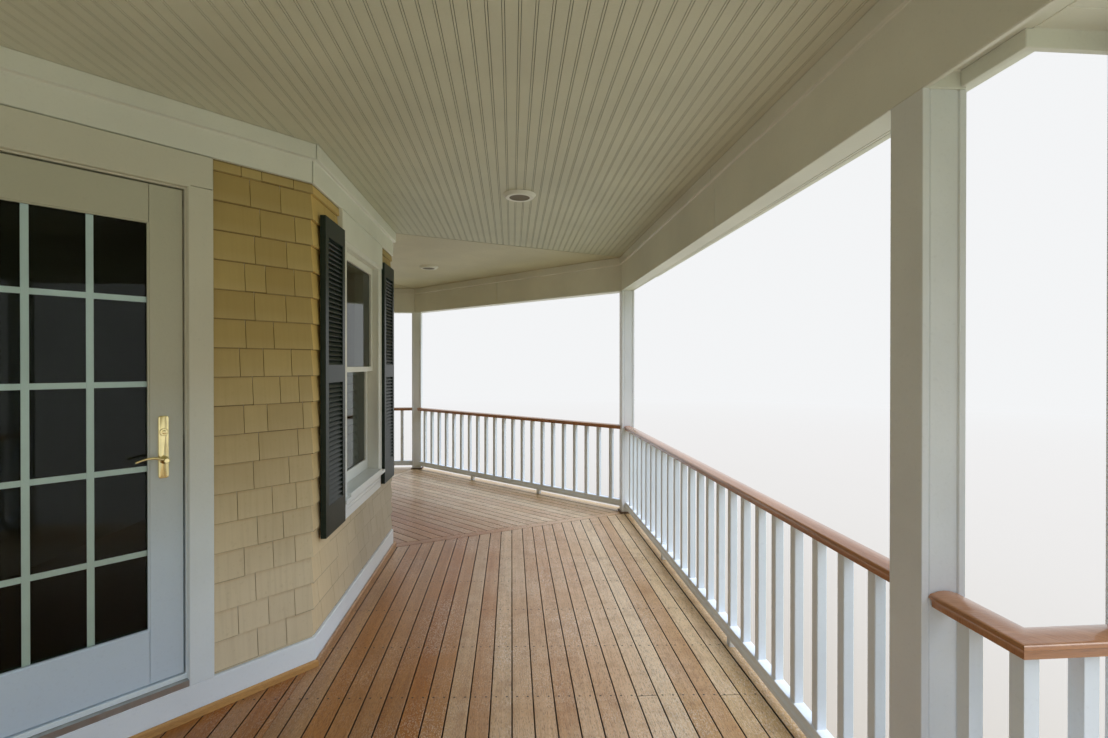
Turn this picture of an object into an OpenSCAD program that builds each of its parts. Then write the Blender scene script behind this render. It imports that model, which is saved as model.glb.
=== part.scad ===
// Corner front porch round the canted bay of a shingled house.
// Millimetres, +Z up, +X out of the house across the long bay, +Y along it.
// The origin is on the ground under the middle of the window wall.

/* [House walls] */
// Centre of the bay to the outer face of its walls
bay_reach = 2155; // [1900:5:2500]
// Thickness of every house wall
wall_t = 150; // [110:5:200]
// Height of the walls above the highest line of the porch roof
wall_over = 140; // [100:10:600]
// Step up from the porch floor to the house floor
floor_step = 165; // [140:5:200]

/* [Porch] */
// Porch floor above the ground
deck_z = 600; // [500:10:900]
// Wall face to the line of the posts
porch_w = 2175; // [1900:5:2600]
// Porch floor to the underside of the beams
beam_h = 2250; // [2150:5:2500]
// Underside of the beams to the ceiling
beam_drop = 340; // [260:5:450]
// Side of a square post
post_w = 127; // [100:1:160]
// Length of the entry post line south of the bay centre
entry_y = 2540; // [2480:5:2650]
// How far the entry stands out past the post line
entry_out = 340; // [300:5:600]

/* [Railing] */
// Porch floor to the underside of the handrail
rail_h = 842; // [780:1:960]
// Width of the handrail
rail_w = 88; // [70:1:100]
// Height of the handrail
rail_t = 43; // [36:1:60]
// Side of a square baluster
baluster_w = 38; // [30:1:45]
// Spacing wished between baluster centres
baluster_pitch = 160; // [120:5:180]

/* [Door] */
// Width of the door leaf
door_w = 790; // [740:5:860]
// Height of the door leaf
door_h = 2046; // [1980:2:2080]
// Middle of the door along its wall
door_shift = -46; // [-60:1:20]
// Thickness of the door leaf
door_t = 44; // [35:1:50]

/* [Window] */
// Width of the window between its outer casings
window_w = 770; // [700:5:800]
// Porch floor to the underside of the window sash
window_z = 740; // [650:5:800]
// Frieze board down to the top of the window
window_over = 200; // [120:5:300]
// Width of one shutter
shutter_w = 328; // [250:1:330]

/* [Roof] */
// Slope of the porch roof
roof_pitch = 18.5; // [14:0.5:20]
// Roof edge past the outer face of the beams
eave_out = 300; // [200:5:400]
// Roof edge past the middle of the header beside the entry
entry_side_out = 110; // [80:5:300]

/* [Hidden] */

// Plan of the bay: a regular octagon whose east, northeast and southeast sides stand free
half = 22.5;
turn = 45;
big = 20000;
eps = 1;
// Room left where two parts meet on a slant
clear = 0.5;
found_t = 200;
origin_x = bay_reach - found_t / 2;
post_line = bay_reach + porch_w;
post_in = post_line - post_w / 2;
post_out = post_line + post_w / 2;
deck_lip = 36;
deck_edge = post_out + deck_lip;
entry_x = post_line + entry_out;
entry_edge = entry_x + post_w / 2 + deck_lip;
wall_back = wall_t;
wall_end = deck_edge + eave_out + 60;
half_side = bay_reach * tan(half);
entry_post_gap = 298;
entry_post_y = entry_y - entry_post_gap;

// Levels above the ground
floor_z = deck_z + floor_step;
floor_t = 35;
found_z = floor_z - floor_t;
board_t = 30;
joist_h = 185;
joist_z = deck_z - board_t - joist_h;
beam_z = deck_z + beam_h;
ceiling_z = beam_z + beam_drop;
ceiling_t = 15;
beam_top = ceiling_z + 45;

// Trim
skirt_t = 24;
skirt_h = 135;
skirt_gap = 4;
frieze_low_t = 26;
frieze_low_h = 115;
frieze_top_t = 48;
frieze_top_h = 75;
band_h = frieze_top_h;
band_t = 16;
skirt_z = deck_z + skirt_gap;
skirt_top = skirt_z + skirt_h;
frieze_z = ceiling_z - frieze_top_h - frieze_low_h;

// Door
door_gap = 7;
jamb_t = 25;
stop_t = 12;
leaf_face = -6;
casing_w = 94;
casing_t = 28;
jamb_reveal = 5;
sill_out = skirt_t;
leaf_z = floor_z + 28;
stile_w = 118;
top_rail_h = 156;
bottom_rail_h = 219;
door_half = door_w / 2;
jamb_in = door_half + door_gap;
casing_in = jamb_in + jamb_reveal;
doorway_half = jamb_in + jamb_t;
doorway_top = leaf_z + door_h + door_gap + jamb_t;
glass_t = 12;
plate_w = 42;
plate_h = 258;
plate_t = 8;
plate_y = door_half - 71;
plate_up = 967;
plate_z = leaf_z + plate_up;
lever_down = 52;
lever_l = 112;
pin_r = 6;
pin_gap = 5;
stop_d = 22;

// Window
win_half = window_w / 2;
win_case_w = 95;
win_case_t = 30;
sash_t = 34;
sash_stile = 48;
sash_low = 75;
meet_h = 34;
win_jamb = 22;
win_bottom = deck_z + window_z;
win_top = frieze_z - window_over;
window_h = win_top - win_bottom;
sill_proud = 55;
apron_h = 110;
shutter_t = 28;
shutter_drop = 136;
shutter_rise = 70;
shutter_z = win_bottom - shutter_drop;
shutter_h = win_top + shutter_rise - shutter_z;
shutter_gap = 8;
shutter_out = 22;
shutter_low_rail = 156;
shutter_mid_rail = 95;
shutter_top_rail = 102;
shutter_mid_drop = 65;
shutter_stile = 46;
louvre_pitch = 25.2;
louvre_t = 7;
louvre_d = 34;
louvre_tilt = 55;

// Roof
roof_t = 60;
roof_low = beam_top;
fascia_t = 22;
fascia_h = 140;
soffit_t = 14;
slope = tan(roof_pitch);
eave_line = post_out + eave_out;
door_mid = bay_reach * cos(turn);
roof_top = roof_low + (post_out - door_mid) * slope + roof_t / cos(roof_pitch);
wall_z = roof_top + wall_over;

function corner(reach, k) = reach / cos(half) * [cos(turn * k + half), sin(turn * k + half)];
function side_plan(far, near, k) = [corner(near, k - 1), corner(far, k - 1),
    corner(far, k), corner(near, k)];

// Everything is drawn about the middle of the bay and moved to the origin here
module placed() translate([-origin_x, 0, 0]) children();

// x out of side k of the bay, y along it, z up, from the wall face
module on_side(k, reach) rotate([0, 0, turn * k]) translate([reach, 0, 0]) children();

module box(x0, x1, y0, y1, z0, z1)
    translate([x0, y0, z0]) cube([x1 - x0, y1 - y0, z1 - z0]);

module prism(points, z0, z1)
    translate([0, 0, z0]) linear_extrude(height = z1 - z0) polygon(points);

// Part of a plan east of the straight house wall
module east_of_wall() intersection() {
    children();
    box(0, big, -big, big, -big, big);
}

module north_of(y) intersection() {
    children();
    box(-big, big, y, big, -big, big);
}

// The house

module side_wall(k) prism(side_plan(bay_reach, bay_reach - wall_t, k), found_z, wall_z);

module foundation() color("silver") placed() {
    east_of_wall() for (k = [-2 : 2])
        prism(side_plan(bay_reach, bay_reach - found_t, k), 0, found_z);
    box(-wall_back, 0, -wall_end, wall_end, 0, found_z);
}

// Footings under the posts, kept a little back from the rim boards
pier_w = 240;
pier_back = 34;

module piers() color("silver") placed() for (p = pier_points)
    translate([p[0], p[1], joist_z / 2]) cube([pier_w, pier_w, joist_z], center = true);

pier_points = [[post_line - pier_back, -entry_post_y], [entry_x - pier_back, -entry_y],
    [entry_x - pier_back, -post_line + pier_back],
    corner(post_line - pier_back, 0), corner(post_line - pier_back, 1),
    [entry_post_y, -post_line + pier_back], [pier_w / 2, -post_line + pier_back],
    [pier_w / 2, post_line - pier_back]];

module house_wall() color("tan") placed()
    box(-wall_back, 0, -wall_end, wall_end, found_z, wall_z);

module north_wall() color("tan") placed() east_of_wall() side_wall(2);
module south_wall() color("tan") placed() east_of_wall() side_wall(-2);
module northeast_wall() color("tan") placed() side_wall(1);

module window_wall() color("tan") placed() difference() {
    side_wall(0);
    on_side(0, bay_reach)
        box(-wall_t - eps, eps, -win_half - win_jamb, win_half + win_jamb,
            win_bottom - win_jamb, win_top + win_jamb);
}

module door_wall_part(y0, y1, z0, z1) color("tan") placed() intersection() {
    side_wall(-1);
    on_side(-1, bay_reach) box(-big, big, y0, y1, z0, z1);
}

module door_wall_right()
    door_wall_part(door_shift + doorway_half, big, found_z, doorway_top);
module door_wall_left()
    door_wall_part(-big, door_shift - doorway_half, found_z, doorway_top);
module door_wall_head() door_wall_part(-big, big, doorway_top, wall_z);

module room_plan(z0, z1) east_of_wall() for (k = [-2 : 2])
    prism([[0, 0], corner(bay_reach - wall_t, k - 1), corner(bay_reach - wall_t, k)], z0, z1);

module house_floor() color("peru") placed() room_plan(found_z, floor_z);
module upper_floor() color("lightgrey") placed() room_plan(wall_z - wall_t, wall_z);

// Boards along the foot and the head of the walls
module wall_trim() color("white") placed() {
    east_of_wall() for (k = [-2 : 2])
        prism(side_plan(bay_reach + skirt_t, bay_reach, k), skirt_z, skirt_top);
    upper_trim();
}

module upper_trim() {
    east_of_wall() for (k = [-2 : 2]) {
        prism(side_plan(bay_reach + frieze_low_t, bay_reach, k),
            frieze_z, frieze_z + frieze_low_h);
        prism(side_plan(bay_reach + frieze_top_t, bay_reach, k),
            frieze_z + frieze_low_h, ceiling_z);
    }
    for (s = [-1, 1]) scale([1, s, 1]) {
        box(0, skirt_t, bay_reach + skirt_t, post_in - shoe_lip, skirt_z, skirt_top);
        box(0, frieze_low_t, bay_reach + frieze_low_t, post_in,
            frieze_z, frieze_z + frieze_low_h);
        box(0, frieze_top_t, bay_reach + frieze_top_t, post_in - band_t,
            frieze_z + frieze_low_h, ceiling_z);
    }
}

// The door

module at_door() placed() on_side(-1, bay_reach) translate([0, door_shift, 0]) children();

module door_frame() color("white") at_door() {
    head_z = leaf_z + door_h + door_gap;
    stop_out = leaf_face - door_t - door_gap;
    for (s = [-1, 1]) scale([1, s, 1]) {
        box(-wall_t, 0, jamb_in, doorway_half, floor_z, doorway_top);
        box(stop_out - stop_d, stop_out, jamb_in - stop_t, jamb_in, floor_z, head_z);
        box(0, casing_t, casing_in, casing_in + casing_w, skirt_top + clear, frieze_z - clear);
    }
    box(-wall_t, 0, -jamb_in, jamb_in, head_z, doorway_top);
    box(leaf_face - door_t, 0, -jamb_in, jamb_in, floor_z, leaf_z - door_gap);
    box(stop_out - stop_d, stop_out, -jamb_in, jamb_in, head_z - stop_t, head_z);
    box(0, casing_t, -casing_in, casing_in, head_z + jamb_reveal, frieze_z - clear);
}

module door_sill() color("silver") at_door() {
    box(-wall_t, 0, -doorway_half, doorway_half, found_z, floor_z);
    box(0, sill_out, -casing_in, casing_in, skirt_top + clear, floor_z);
}

module door_leaf() color("white") at_door() difference() {
    box(leaf_face - door_t, leaf_face, -door_half, door_half, leaf_z, leaf_z + door_h);
    box(leaf_face - door_t - eps, leaf_face + eps, -door_half + stile_w, door_half - stile_w,
        leaf_z + bottom_rail_h, leaf_z + door_h - top_rail_h);
}

module door_glass() color("lightblue") at_door()
    translate([leaf_face - door_t / 2, 0, leaf_z + (door_h + bottom_rail_h - top_rail_h) / 2])
        cube([glass_t, door_w - 2 * stile_w, door_h - top_rail_h - bottom_rail_h], center = true);

plate_r = 9;
spindle_r = 9;
boss_r = 16.5;
boss_t = 6;
lever_out = 45;
lever_d = 13;
lever_rise = 12;
lever_fall = 13;
lever_thick = 15;
lever_tip = 9;
lever_steps = 16;
lock_up = 62;
lock_r = 15;
lock_t = 5;
lock_pin_r = 8;
lock_pin_t = 10;

// The lever rises from its boss, then dips to its tip
function lever_line(t) = lever_rise * sin(225 * t)
    - lever_fall * max(0, t - 0.72) / 0.28;
function lever_half(t) = (lever_thick + (lever_tip - lever_thick) * t) / 2;

module lever_shape() {
    polygon(concat(
        [for (i = [0 : lever_steps]) let (t = i / lever_steps)
            [-lever_l * t, lever_line(t) + lever_half(t)]],
        [for (i = [lever_steps : -1 : 0]) let (t = i / lever_steps)
            [-lever_l * t, lever_line(t) - lever_half(t)]]));
    circle(r = spindle_r, $fn = 48);
}

module lever_set() {
    rotate([90, 0, 90]) {
        linear_extrude(height = plate_t) offset(r = plate_r, $fn = 48)
            square([plate_w - 2 * plate_r, plate_h - 2 * plate_r], center = true);
        translate([0, -lever_down, plate_t]) {
            cylinder(r = boss_r, h = boss_t, $fn = 64);
            cylinder(r = spindle_r, h = lever_out, $fn = 48);
            translate([0, 0, lever_out - lever_d]) linear_extrude(height = lever_d) lever_shape();
        }
        translate([0, lock_up, plate_t]) {
            cylinder(r = lock_r, h = lock_t, $fn = 64);
            cylinder(r = lock_pin_r, h = lock_pin_t, $fn = 48);
        }
    }
}

module door_handle() color("gold") at_door() {
    translate([leaf_face, plate_y, plate_z]) lever_set();
    translate([leaf_face - door_t, plate_y, plate_z]) scale([-1, 1, 1]) lever_set();
}

hinge_zs = [leaf_z + 180, leaf_z + door_h / 2, leaf_z + door_h - 180];
pin_x = leaf_face + pin_gap + pin_r;
pin_y = -door_half - clear * 2;

module door_hinges() color("gold") at_door() for (z = hinge_zs) {
    knuckle_h = 100;
    strap_t = 3;
    strap_w = 34;
    translate([pin_x, pin_y, z - knuckle_h / 2]) cylinder(r = pin_r, h = knuckle_h, $fn = 48);
    translate([casing_t, pin_y - strap_w, z - knuckle_h / 2])
        cube([strap_t, strap_w - pin_r, knuckle_h]);
    box(pin_x, casing_t + strap_t, pin_y - pin_r, pin_y - pin_r + strap_t,
        z - knuckle_h / 2, z + knuckle_h / 2);
}

// The window

module at_window() placed() on_side(0, bay_reach) children();

module window_frame() color("white") at_window() {
    head_case = 18;
    case_out = win_half + win_case_w;
    for (s = [-1, 1]) scale([1, s, 1]) {
        box(-wall_t, 0, win_half, win_half + win_jamb, win_bottom - win_jamb, win_top + win_jamb);
        box(0, win_case_t, win_half, case_out, win_bottom - win_jamb, win_top + head_case);
    }
    box(-wall_t, 0, -win_half, win_half, win_top, win_top + win_jamb);
    box(0, win_case_t + 6, -case_out, case_out, win_top + head_case, frieze_z - clear);
    box(0, win_case_t, -win_half, win_half, win_top, win_top + head_case);
    box(-wall_t, sill_proud, -win_half, win_half, win_bottom - win_jamb, win_bottom);
    box(0, sill_proud, -case_out, case_out, win_bottom - 2 * win_jamb, win_bottom - win_jamb);
    box(0, win_case_t - 6, -case_out + 12, case_out - 12,
        win_bottom - 2 * win_jamb - apron_h, win_bottom - 2 * win_jamb);
}

module sash(x0, z0, z1, low) difference() {
    box(x0, x0 + sash_t, -win_half + 2, win_half - 2, z0, z1);
    box(x0 - eps, x0 + sash_t + eps, -win_half + sash_stile, win_half - sash_stile,
        z0 + low, z1 - (low == sash_low ? meet_h : sash_stile));
}

meet_z = win_bottom + window_h / 2;
upper_x = -sash_t - 12;
lower_x = upper_x - sash_t - 3;

module window_sashes() color("white") at_window() {
    sash(upper_x, meet_z - meet_h / 2, win_top - 2, meet_h);
    sash(lower_x, win_bottom + 2, meet_z + meet_h / 2, sash_low);
}

module window_glass() color("lightblue") at_window() {
    pane_t = 8;
    pane_w = window_w - 2 * sash_stile;
    mid = (sash_t - pane_t) / 2;
    box(upper_x + mid, upper_x + mid + pane_t, -pane_w / 2, pane_w / 2,
        meet_z + meet_h / 2, win_top - 2 - sash_stile);
    box(lower_x + mid, lower_x + mid + pane_t, -pane_w / 2, pane_w / 2,
        win_bottom + 2 + sash_low, meet_z - meet_h / 2);
}

module window_blind() color("white") at_window() {
    blind_x = -wall_t + 22;
    slat_d = 50;
    slat_t = 8;
    slat_pitch = 58;
    stile = 38;
    low = win_bottom + 6;
    high = meet_z - 6;
    count = floor((high - low - 2 * stile) / slat_pitch);
    for (s = [-1, 1]) scale([1, s, 1])
        box(blind_x - 11, blind_x + 11, win_half - 4 - stile, win_half - 4, low, high);
    for (z = [low, high - stile])
        box(blind_x - 11, blind_x + 11, -win_half + 4 + stile, win_half - 4 - stile, z, z + stile);
    for (i = [0 : count - 1]) translate([blind_x, 0, low + stile + (i + 0.5) *
        (high - low - 2 * stile) / count]) rotate([0, 50, 0])
        cube([slat_d, window_w - 8 - 2 * stile + 4, slat_t], center = true);
}

// One louvred shutter, its back on the plane x = 0 and its middle on y = 0
module shutter() {
    side = shutter_w / 2;
    mid_z = meet_z - shutter_mid_drop - shutter_z;
    top_z = shutter_h - shutter_top_rail;
    for (s = [-1, 1]) scale([1, s, 1])
        box(0, shutter_t, side - shutter_stile, side, 0, shutter_h);
    for (z = [[0, shutter_low_rail], [mid_z, mid_z + shutter_mid_rail], [top_z, shutter_h]])
        box(0, shutter_t, -side + shutter_stile, side - shutter_stile, z[0], z[1]);
    louvres(shutter_low_rail, mid_z);
    louvres(mid_z + shutter_mid_rail, top_z);
}

module louvres(z0, z1) {
    count = floor((z1 - z0) / louvre_pitch);
    step = (z1 - z0) / count;
    for (i = [0 : count - 1])
        translate([shutter_t / 2, 0, z0 + (i + 0.5) * step]) rotate([0, louvre_tilt, 0])
            cube([louvre_d, shutter_w - 2 * shutter_stile + 6, louvre_t], center = true);
}

module shutters() color("darkslategrey") at_window() for (s = [-1, 1])
    translate([shutter_out, s * (win_half + win_case_w + shutter_gap + shutter_w / 2), shutter_z])
        shutter();

// The posts and beams

shoe_t = 15;
shoe_lip = 15;
post_points = [[post_line, -entry_post_y], [entry_x, -entry_y], [entry_x, -post_line],
    corner(post_line, 0), corner(post_line, 1), [entry_post_y, -post_line]];

// A box post: two full side boards and two faces let in between them
module post_plan(w, d) {
    board = 20;
    inset = 3;
    groove = 5;
    difference() {
        square([w, d], center = true);
        for (s = [-1, 1]) {
            translate([0, s * d / 2]) square([w - 2 * board, 2 * inset], center = true);
            for (g = [-1, 1])
                translate([g * (w / 2 - board - groove / 2), s * d / 2])
                    square([groove, 4 * inset], center = true);
        }
    }
}

module posts() color("white") placed() {
    for (p = post_points) translate([p[0], p[1], deck_z + shoe_t])
        linear_extrude(height = beam_h - shoe_t + (p[0] > post_line ? entry_rise : 0))
            post_plan(post_w, post_w);
    for (s = [-1, 1]) translate([post_w / 4, s * post_line, deck_z + shoe_t])
        linear_extrude(height = beam_h - shoe_t) square([post_w / 2, post_w], center = true);
}

module post_bases() color("dimgrey") placed() {
    shoe_w = post_w + 2 * shoe_lip;
    for (p = post_points) translate([p[0], p[1], deck_z + shoe_t / 2])
        cube([shoe_w, shoe_w, shoe_t], center = true);
    for (s = [-1, 1]) translate([shoe_w / 4, s * post_line, deck_z + shoe_t / 2])
        cube([shoe_w / 2, shoe_w, shoe_t], center = true);
}

module beam_side(k) {
    prism(side_plan(post_out, post_in, k), beam_z, beam_top);
    prism(side_plan(post_in, post_in - band_t, k), ceiling_z - band_h, ceiling_z);
}

module beam_northeast() color("white") placed() beam_side(1);
module beam_north() color("white") placed() east_of_wall() beam_side(2);

// Over the entry the outer part of the long beam stops higher, behind a drop board
drop_board_t = 19;
entry_rise = 50;
entry_z = beam_z + entry_rise;

module beam_east() color("white") placed() {
    entry_end = -entry_post_y - post_w / 2;
    north_of(0) beam_side(0);
    box(post_in, post_out, entry_end, 0, beam_z, beam_top);
    box(post_in, post_out, -post_out, entry_end, entry_z, beam_top);
    box(post_in, post_in + drop_board_t, -post_in, entry_end, beam_z, entry_z);
    box(post_in, post_out, -post_out, -post_in, beam_z, entry_z);
    box(post_in - band_t, post_in, -post_in + band_t, 0, ceiling_z - band_h, ceiling_z);
}

module beam_south() color("white") placed() {
    box(0, post_in, -post_out, -post_in, beam_z, beam_top);
    box(0, post_in - band_t, -post_in, -post_in + band_t, ceiling_z - band_h, ceiling_z);
}

header_t = 66;
header_board_t = 19;
header_drop = 45;

// The header that steps out round the entry, and the thin boards that hang below it
module entry_header() color("white") placed() {
    h = header_t / 2;
    t = header_board_t;
    z0 = entry_z - header_drop;
    top = header_top();
    north = -entry_y + post_w / 2;
    box(post_out - t, post_out, north - t, -entry_post_y - post_w / 2, z0, entry_z);
    box(post_out, entry_x - post_w / 2, north - t, north, z0, entry_z);
    box(post_out, entry_x - h, -entry_y - h, north, entry_z, top);
    box(entry_x - h, entry_x + h, -post_line - h, north, entry_z, top);
    box(entry_x + h - t, entry_x + h, -post_line + post_w / 2, -entry_y - post_w / 2,
        z0, entry_z);
    box(post_out, entry_x - h, -post_line - h, -post_line + h, entry_z, top);
    box(post_out, entry_x - post_w / 2, -post_line - h, -post_line - h + t, z0, entry_z);
}

function header_top() = beam_top - (entry_out + header_t / 2) * slope - 4;

// The ceiling

module ceiling_east() color("ivory") placed() {
    prism([corner(bay_reach, -1), [post_in, -half_side], corner(post_in, 0),
        corner(bay_reach, 0)], ceiling_z, ceiling_z + ceiling_t);
    prism([corner(bay_reach, -2), [half_side, -post_in], [post_in, -post_in],
        [post_in, -half_side], corner(bay_reach, -1)], ceiling_z, ceiling_z + ceiling_t);
    box(0, half_side, -post_in, -bay_reach, ceiling_z, ceiling_z + ceiling_t);
}

module ceiling_northeast() color("ivory") placed() {
    prism(side_plan(post_in, bay_reach, 1), ceiling_z, ceiling_z + ceiling_t);
    east_of_wall() prism(side_plan(post_in, bay_reach, 2), ceiling_z, ceiling_z + ceiling_t);
}

// Each light is a low cone with a flat lens let into its underside
lamp_r = 106;
lamp_low_r = 88;
lamp_lens_r = 66;
lamp_h = 20;
lamp_lens_depth = 3;
lamp_places = [[0, 1053, -195], [1, 1165, 155]];

module ceiling_lights() color("white") placed() for (p = lamp_places)
    on_side(p[0], bay_reach + p[1]) translate([0, p[2], ceiling_z - lamp_h - clear])
        difference() {
            cylinder(r1 = lamp_low_r, r2 = lamp_r, h = lamp_h, $fn = 64);
            translate([0, 0, -eps]) cylinder(r = lamp_lens_r, h = lamp_lens_depth, $fn = 64);
        }

// The roof

// A sloping slab whose underside passes the outer top edge of the beams
module roof_slab(reach) {
    far = eave_line + 2 * entry_out;
    translate([post_out, 0, roof_low]) rotate([0, roof_pitch, 0])
        translate([-reach, -big / 2, 0]) cube([reach + far, big, roof_t]);
}

module roof_piece(k, plan) intersection() {
    rotate([0, 0, turn * k]) roof_slab(post_out);
    prism(plan, 0, big);
}

bump_y = entry_y - header_t / 2 - entry_side_out;

module roof_east() color("dimgrey") placed()
    roof_piece(0, [corner(bay_reach, -1), [door_mid, -door_mid], [eave_line, -eave_line],
        [eave_line + entry_out, -eave_line], [eave_line + entry_out, -bump_y],
        [eave_line, -bump_y], corner(eave_line, 0), corner(bay_reach, 0)]);

module roof_south() color("dimgrey") placed()
    roof_piece(-2, [[0, -bay_reach], [0, -eave_line], [eave_line, -eave_line],
        [door_mid, -door_mid], corner(bay_reach, -2)]);

module roof_northeast() color("dimgrey") placed() {
    roof_piece(1, side_plan(eave_line, bay_reach, 1));
    roof_piece(2, [[0, bay_reach], corner(bay_reach, 1), corner(eave_line, 1), [0, eave_line]]);
}

// Boxed eaves: fascia boards and the flat boards under the roof edge
fascia_drop = 110;
eave_top = beam_top - eave_out * slope - 3;
eave_low = beam_top - eave_out * slope - fascia_drop;
entry_eave = eave_line + entry_out;
entry_top = eave_top - entry_out * slope;
entry_low = eave_low - entry_out * slope;

module eaves() color("white") placed() {
    in_line = eave_line - fascia_t;
    // round the slanting bay and to the house
    prism(side_plan(eave_line, in_line, 1), eave_low, eave_top);
    prism(side_plan(in_line, post_out, 1), eave_low, eave_low + soffit_t);
    east_of_wall() prism(side_plan(eave_line, in_line, 2), eave_low, eave_top);
    east_of_wall() prism(side_plan(in_line, post_out, 2), eave_low, eave_low + soffit_t);
    // along the long bay and the south side
    prism([[eave_line, -bump_y], corner(eave_line, 0), corner(in_line, 0),
        [in_line, -bump_y]], eave_low, eave_top);
    prism([[in_line, -bump_y], corner(in_line, 0), corner(post_out, 0),
        [post_out, -bump_y]], eave_low, eave_low + soffit_t);
    box(0, eave_line, -eave_line, -in_line, eave_low, eave_top);
    box(0, post_out, -in_line, -post_out, eave_low, eave_low + soffit_t);
    entry_eaves();
}

// The lower box round the entry, its flat boards and the ceiling inside its header
module entry_eaves() {
    h = header_t / 2;
    front = entry_eave - fascia_t;
    side = [[post_out, entry_low], [entry_eave, entry_low], [entry_eave, entry_top],
        [eave_line, eave_top], [eave_line, eave_low], [post_out, eave_low]];
    box(front, entry_eave, -eave_line, -bump_y, entry_low, entry_top);
    for (y = [-bump_y, -eave_line + fascia_t])
        translate([0, y, 0]) rotate([90, 0, 0]) linear_extrude(height = fascia_t) polygon(side);
    box(post_out, post_out + fascia_t, -eave_line + fascia_t, -post_line - h,
        entry_low, eave_low + soffit_t);
    box(post_out, front, -entry_y + post_w / 2, -bump_y - fascia_t,
        entry_low, entry_low + soffit_t);
    box(post_out + fascia_t, front, -eave_line + fascia_t, -post_line - h,
        entry_low, entry_low + soffit_t);
    box(entry_x + h, front, -post_line - h, -entry_y + post_w / 2,
        entry_low, entry_low + soffit_t);
    box(post_out, entry_x - h, -post_line + h, -entry_y - h, entry_z, entry_z + soffit_t);
}

// The floor

board_z = deck_z - board_t;

module deck_east() color("sienna") placed() {
    prism([corner(bay_reach, -1), [deck_edge, -half_side], corner(deck_edge, 0),
        corner(bay_reach, 0)], board_z, deck_z);
    prism([corner(bay_reach, -2), [half_side, -deck_edge], [entry_edge, -deck_edge],
        [entry_edge, -entry_y + post_w / 2 + deck_lip],
        [deck_edge, -entry_y + post_w / 2 + deck_lip], [deck_edge, -half_side],
        corner(bay_reach, -1)], board_z, deck_z);
    box(0, half_side, -deck_edge, -bay_reach, board_z, deck_z);
}

module deck_northeast() color("sienna") placed() {
    prism(side_plan(deck_edge, bay_reach, 1), board_z, deck_z);
    east_of_wall() prism(side_plan(deck_edge, bay_reach, 2), board_z, deck_z);
}

// Rim boards and joists under the floor
rim_t = 38;
rim_back = 12;
rim_out = deck_edge - rim_back;
rim_in = rim_out - rim_t;
entry_rim = entry_edge - rim_back;
entry_side = -entry_y + post_w / 2 + deck_lip - rim_back;
joist_pitch = 406;
// How far the joists reach into the rims
rim_lap = rim_t / 2;
joist_in = rim_in + rim_lap;
entry_joist = entry_rim - rim_lap;

module patch(x0, x1, y0, y1) translate([x0, y0]) square([x1 - x0, y1 - y0]);

// Joists across x or y over a plan, cut to it
module joists(plan, along_x) intersection() {
    polygon(plan);
    for (i = [-12 : 12]) let(at = i * joist_pitch)
        if (along_x) patch(-big / 2, big / 2, at - rim_t / 2, at + rim_t / 2);
        else patch(at - rim_t / 2, at + rim_t / 2, -big / 2, big / 2);
}

module hip_joist(k) rotate(turn * k + half)
    patch(bay_reach / cos(half), (rim_in + rim_lap) / cos(half), -rim_t / 2, rim_t / 2);

module rim_plan() {
    polygon(side_plan(rim_out, rim_in, 1));
    intersection() {
        polygon(side_plan(rim_out, rim_in, 2));
        patch(0, big, -big, big);
    }
    polygon([[rim_out, entry_side], corner(rim_out, 0), corner(rim_in, 0), [rim_in, entry_side]]);
    patch(rim_in, entry_rim, entry_side - rim_t, entry_side);
    patch(entry_rim - rim_t, entry_rim, -rim_out, entry_side);
    patch(0, entry_rim, -rim_out, -rim_in);
}

module joist_plan() {
    // the long bay, the entry and the south side
    joists([corner(bay_reach, -1), [joist_in, -half_side], corner(joist_in, 0),
        corner(bay_reach, 0)], true);
    joists([corner(bay_reach, -2), [half_side, -joist_in], [entry_joist, -joist_in],
        [entry_joist, entry_side - rim_lap], [joist_in, entry_side - rim_lap],
        [joist_in, -half_side], corner(bay_reach, -1)], true);
    joists([[0, -bay_reach], [0, -joist_in], [half_side, -joist_in], corner(bay_reach, -2)], true);
    // the slanting bay and the north side
    for (k = [0, 1]) hip_joist(k);
    rotate(turn) joists(side_plan(joist_in, bay_reach, 0), true);
    joists([[0, bay_reach], corner(bay_reach, 1), corner(joist_in, 1), [0, joist_in]], false);
}

module deck_frame() color("burlywood") placed() translate([0, 0, joist_z])
    linear_extrude(height = joist_h) {
        rim_plan();
        joist_plan();
    }

// The steps

riser_n = 4;
tread_d = 300;
tread_t = 38;
nosing = 25;

module step_treads() color("sienna") placed() for (i = [1 : riser_n - 1])
    box(entry_rim + (i - 1) * tread_d, entry_rim + i * tread_d + nosing,
        -post_line, -entry_y, deck_z - i * deck_z / riser_n - tread_t,
        deck_z - i * deck_z / riser_n);

stringer_in = 60;

module step_stringers() color("white") placed() {
    run = entry_rim;
    rise = deck_z / riser_n;
    for (y = [-post_line + stringer_in, -(post_line + entry_y) / 2, -entry_y - stringer_in])
        translate([0, y + rim_t / 2, 0]) rotate([90, 0, 0])
            linear_extrude(height = rim_t)
                polygon([[run, 0], [run + 3 * tread_d, 0],
                    [run + 3 * tread_d, rise - tread_t],
                    [run + 2 * tread_d, rise - tread_t],
                    [run + 2 * tread_d, 2 * rise - tread_t],
                    [run + tread_d, 2 * rise - tread_t],
                    [run + tread_d, 3 * rise - tread_t],
                    [run, 3 * rise - tread_t]]);
}

// The railings

low_rail_z = 52;
low_rail_h = 61;
low_rail_w = 64;
low_rail_top_w = 50;
low_rail_side_h = 24;
low_rail_slope_h = 12;
foot_w = 40;

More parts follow.
